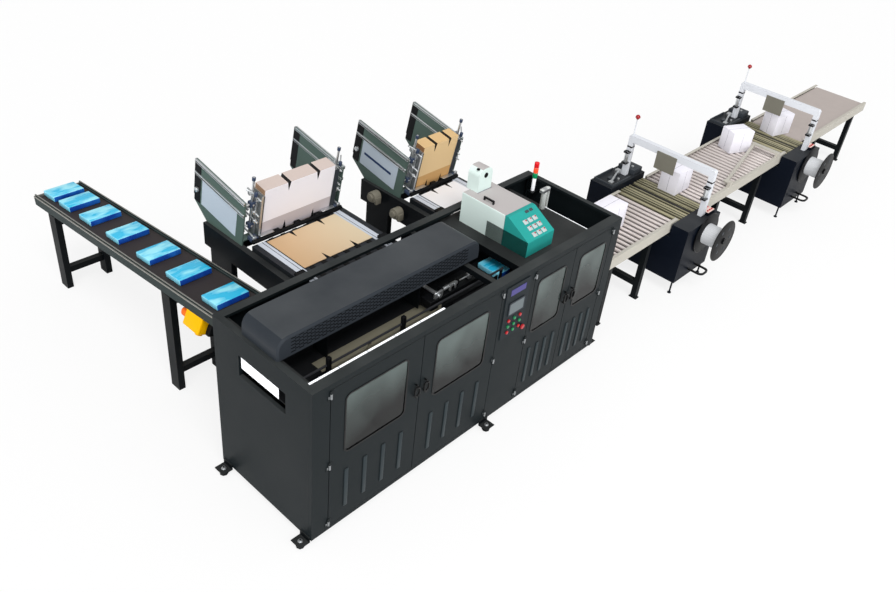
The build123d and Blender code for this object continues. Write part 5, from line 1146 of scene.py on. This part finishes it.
# %% Packed cases
CASES = ((4.387, 0.538, 0), (5.702, 0.534, 0), (7.242, 0.602, -24), (8.197, 0.519, -16))
boxes = []
seams = []
for x, y, turn in CASES:
    spot = Matrix.Translation((x, y, 0)) @ Matrix.Rotation(math.radians(turn), 4, "Z")
    boxes.append(moved(block((-0.1525, -0.111, 0.7833), (0.1525, 0.111, 1.0508), 0.003, 2), spot))
    lines = [
        block((-0.150, -0.0016, 1.0500), (0.150, 0.0016, 1.0513), 0.0003),
        block((-0.1530, -0.0016, 0.800), (-0.1520, 0.0016, 1.046), 0.0003),
        block((0.1520, -0.0016, 0.800), (0.1530, 0.0016, 1.046), 0.0003),
        block((-0.0016, -0.1115, 0.800), (0.0016, -0.1105, 1.046), 0.0003),
        block((-0.0016, 0.1105, 0.800), (0.0016, 0.1115, 1.046), 0.0003),
    ]
    seams.append(moved(joined(lines), spot))
cases = made("board_cases", "case_board", boxes)
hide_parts("packed_cases")
made("case_seams", "seam_grey", seams)
print("cases", len(CASES))

# %% [markdown]
# Each strapper's arch has an air cylinder at either side, held by two black clamps, a brown stop plate and a
# red beacon on a thin rod. Its table has round bars either side of a dark track.

# %% Strapping machines
STRAPPERS = ((1, 4.977), (2, 7.557))
TABLE_LOW = 0.1075
TABLE_HIGH = 0.8855
BAR_PITCH = 0.052
for number, left in STRAPPERS:
    tag = f"strapper_{number}"
    track = left + 0.425
    arm = track - 0.047
    tubes = []
    clamps = []
    for y in (0.009, 1.005):
        tubes.append(rod((arm, y, 1.001), (arm, y, 1.149), 0.0222, 28))
        for low in (0.9995, 1.1275):
            clamps.append(block((arm - 0.0328, y - 0.0298, low), (arm + 0.0325, y + 0.0298, low + 0.023), 0.003, 2))
        corner = block((track - 0.031, y - 0.030, 1.185), (track + 0.031, y + 0.030, 1.205), 0.002)
        clamps.append(corner)
    made(f"{tag}_cylinders", "bright_steel", tubes)
    clamps.append(block((track - 0.0165, TABLE_LOW, 0.7515), (track + 0.0165, TABLE_HIGH, 0.7690), 0.001))
    made(f"{tag}_clamps", "handle_black", clamps)
    stop_plate = block((track - 0.0412, 0.4235, 1.0945), (track - 0.0296, 0.6645, 1.2915), 0.0015)
    made(f"{tag}_stop_plate", "plate_brown", [stop_plate])
    bars = []
    for start, end in ((left + 0.135, track - 0.017), (track + 0.017, left + 0.680)):
        count = int((end - start) / BAR_PITCH)
        first = (start + end - (count - 1) * BAR_PITCH) / 2
        for step in range(count):
            x = first + step * BAR_PITCH
            bars.append(rod((x, TABLE_LOW, 0.766), (x, TABLE_HIGH, 0.766), 0.0175, 20))
    made(f"{tag}_table_bars", "table_rod", bars)
    deselect()
    bpy.ops.mesh.primitive_uv_sphere_add(segments=24, ring_count=16, radius=0.027, location=(track, 1.005, 1.535))
    ball = settle(bpy.context.object)
    pick(ball, lambda centre, normal: centre.z < 1.523)
    bpy.ops.transform.resize(value=(0.8, 0.8, 1.0), center_override=(track, 1.005, 1.523))
    leave()
    made(f"{tag}_beacon", "beacon_red", [ball])
    key_plate = block((left + 0.476, -0.045, 0.8238), (left + 0.614, 0.053, 0.8268), 0.001)
    made(f"{tag}_key_plate", "key_pink", [key_plate])
    button = rod((0, 0, 0.8265), (0, 0, 0.837), 0.010, 16, 0.002)
    spots = [(left + 0.505 + 0.040 * column, -0.022 + 0.050 * row, 0) for column in range(3) for row in range(2)]
    made(f"{tag}_key_buttons", "button_red", [row_of(button, spots)])
    tray = [
        block((left + 0.030, 0.900, 0.8502), (left + 0.385, 0.912, 0.882), 0.002),
        block((left + 0.030, 1.135, 0.8502), (left + 0.385, 1.147, 0.882), 0.002),
        block((left + 0.030, 0.912, 0.8502), (left + 0.042, 1.135, 0.882), 0.002),
        block((left + 0.470, 0.915, 0.8502), (left + 0.640, 1.130, 0.915), 0.008, 2),
        block((left + 0.160, 0.985, 0.8502), (left + 0.240, 1.060, 0.872), 0.004),
    ]
    made(f"{tag}_tray", "dark_grey", tray)
    gripper = [
        rod((left + 0.075, 0.955, 0.880), (left + 0.350, 1.050, 0.892), 0.011, 20),
        block((left + 0.055, 0.930, 0.862), (left + 0.105, 0.980, 0.896), 0.005, 2),
        block((left + 0.320, 1.020, 0.868), (left + 0.375, 1.075, 0.915), 0.005, 2),
        rod((left + 0.200, 0.940, 0.8502), (left + 0.200, 0.940, 0.900), 0.012, 20),
        rod((left + 0.530, 0.980, 0.915), (left + 0.530, 0.980, 0.930), 0.016, 20),
        rod((left + 0.600, 1.070, 0.915), (left + 0.600, 1.070, 0.930), 0.012, 20),
    ]
    made(f"{tag}_gripper", "bright_steel", gripper)
    latch = block((left + 0.6695, 0.020, 0.560), (left + 0.6755, 0.045, 0.620), 0.002)
    # The latch's white finish glows: painted light.
    made(f"{tag}_latch", "white_plastic", [latch])
    reel = [
        rod((left + 0.415, -0.1102, 0.634), (left + 0.415, -0.1158, 0.634), 0.2325, 72, 0.001),
        rod((left + 0.415, -0.3092, 0.634), (left + 0.415, -0.3148, 0.634), 0.2325, 72, 0.001),
        rod((left + 0.415, -0.1150, 0.634), (left + 0.415, -0.3100, 0.634), 0.1150, 56, 0.0),
        rod((left + 0.415, -0.3140, 0.634), (left + 0.415, -0.3200, 0.634), 0.0380, 32, 0.002),
    ]
    whole = made(f"{tag}_wound_reel", "reel_mixed", reel, body=f"reel_{number}")
    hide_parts(f"strapper_{number}_reel")
    marks = []
    for step in range(6):
        angle = math.radians(60 * step)
        spot = Vector((left + 0.415 + 0.135 * math.cos(angle), -0.3146, 0.634 + 0.135 * math.sin(angle)))
        marks.append(rod(spot, spot + Vector((0, -0.0012, 0)), 0.020, 20, 0.0004))
    made(f"{tag}_reel_marks", "dark_grey", marks, body=f"reel_{number}")
    rims = []
    for y in (-0.113, -0.312):
        deselect()
        bpy.ops.mesh.primitive_torus_add(
            location=(left + 0.415, y, 0.634),
            rotation=(math.pi / 2, 0, 0),
            major_radius=0.2306,
            minor_radius=0.0042,
            major_segments=64,
            minor_segments=8,
        )
        rims.append(settle(bpy.context.object))
    made(f"{tag}_reel_rims", "handle_black", rims, body=f"reel_{number}")
print("strappers", len(STRAPPERS))
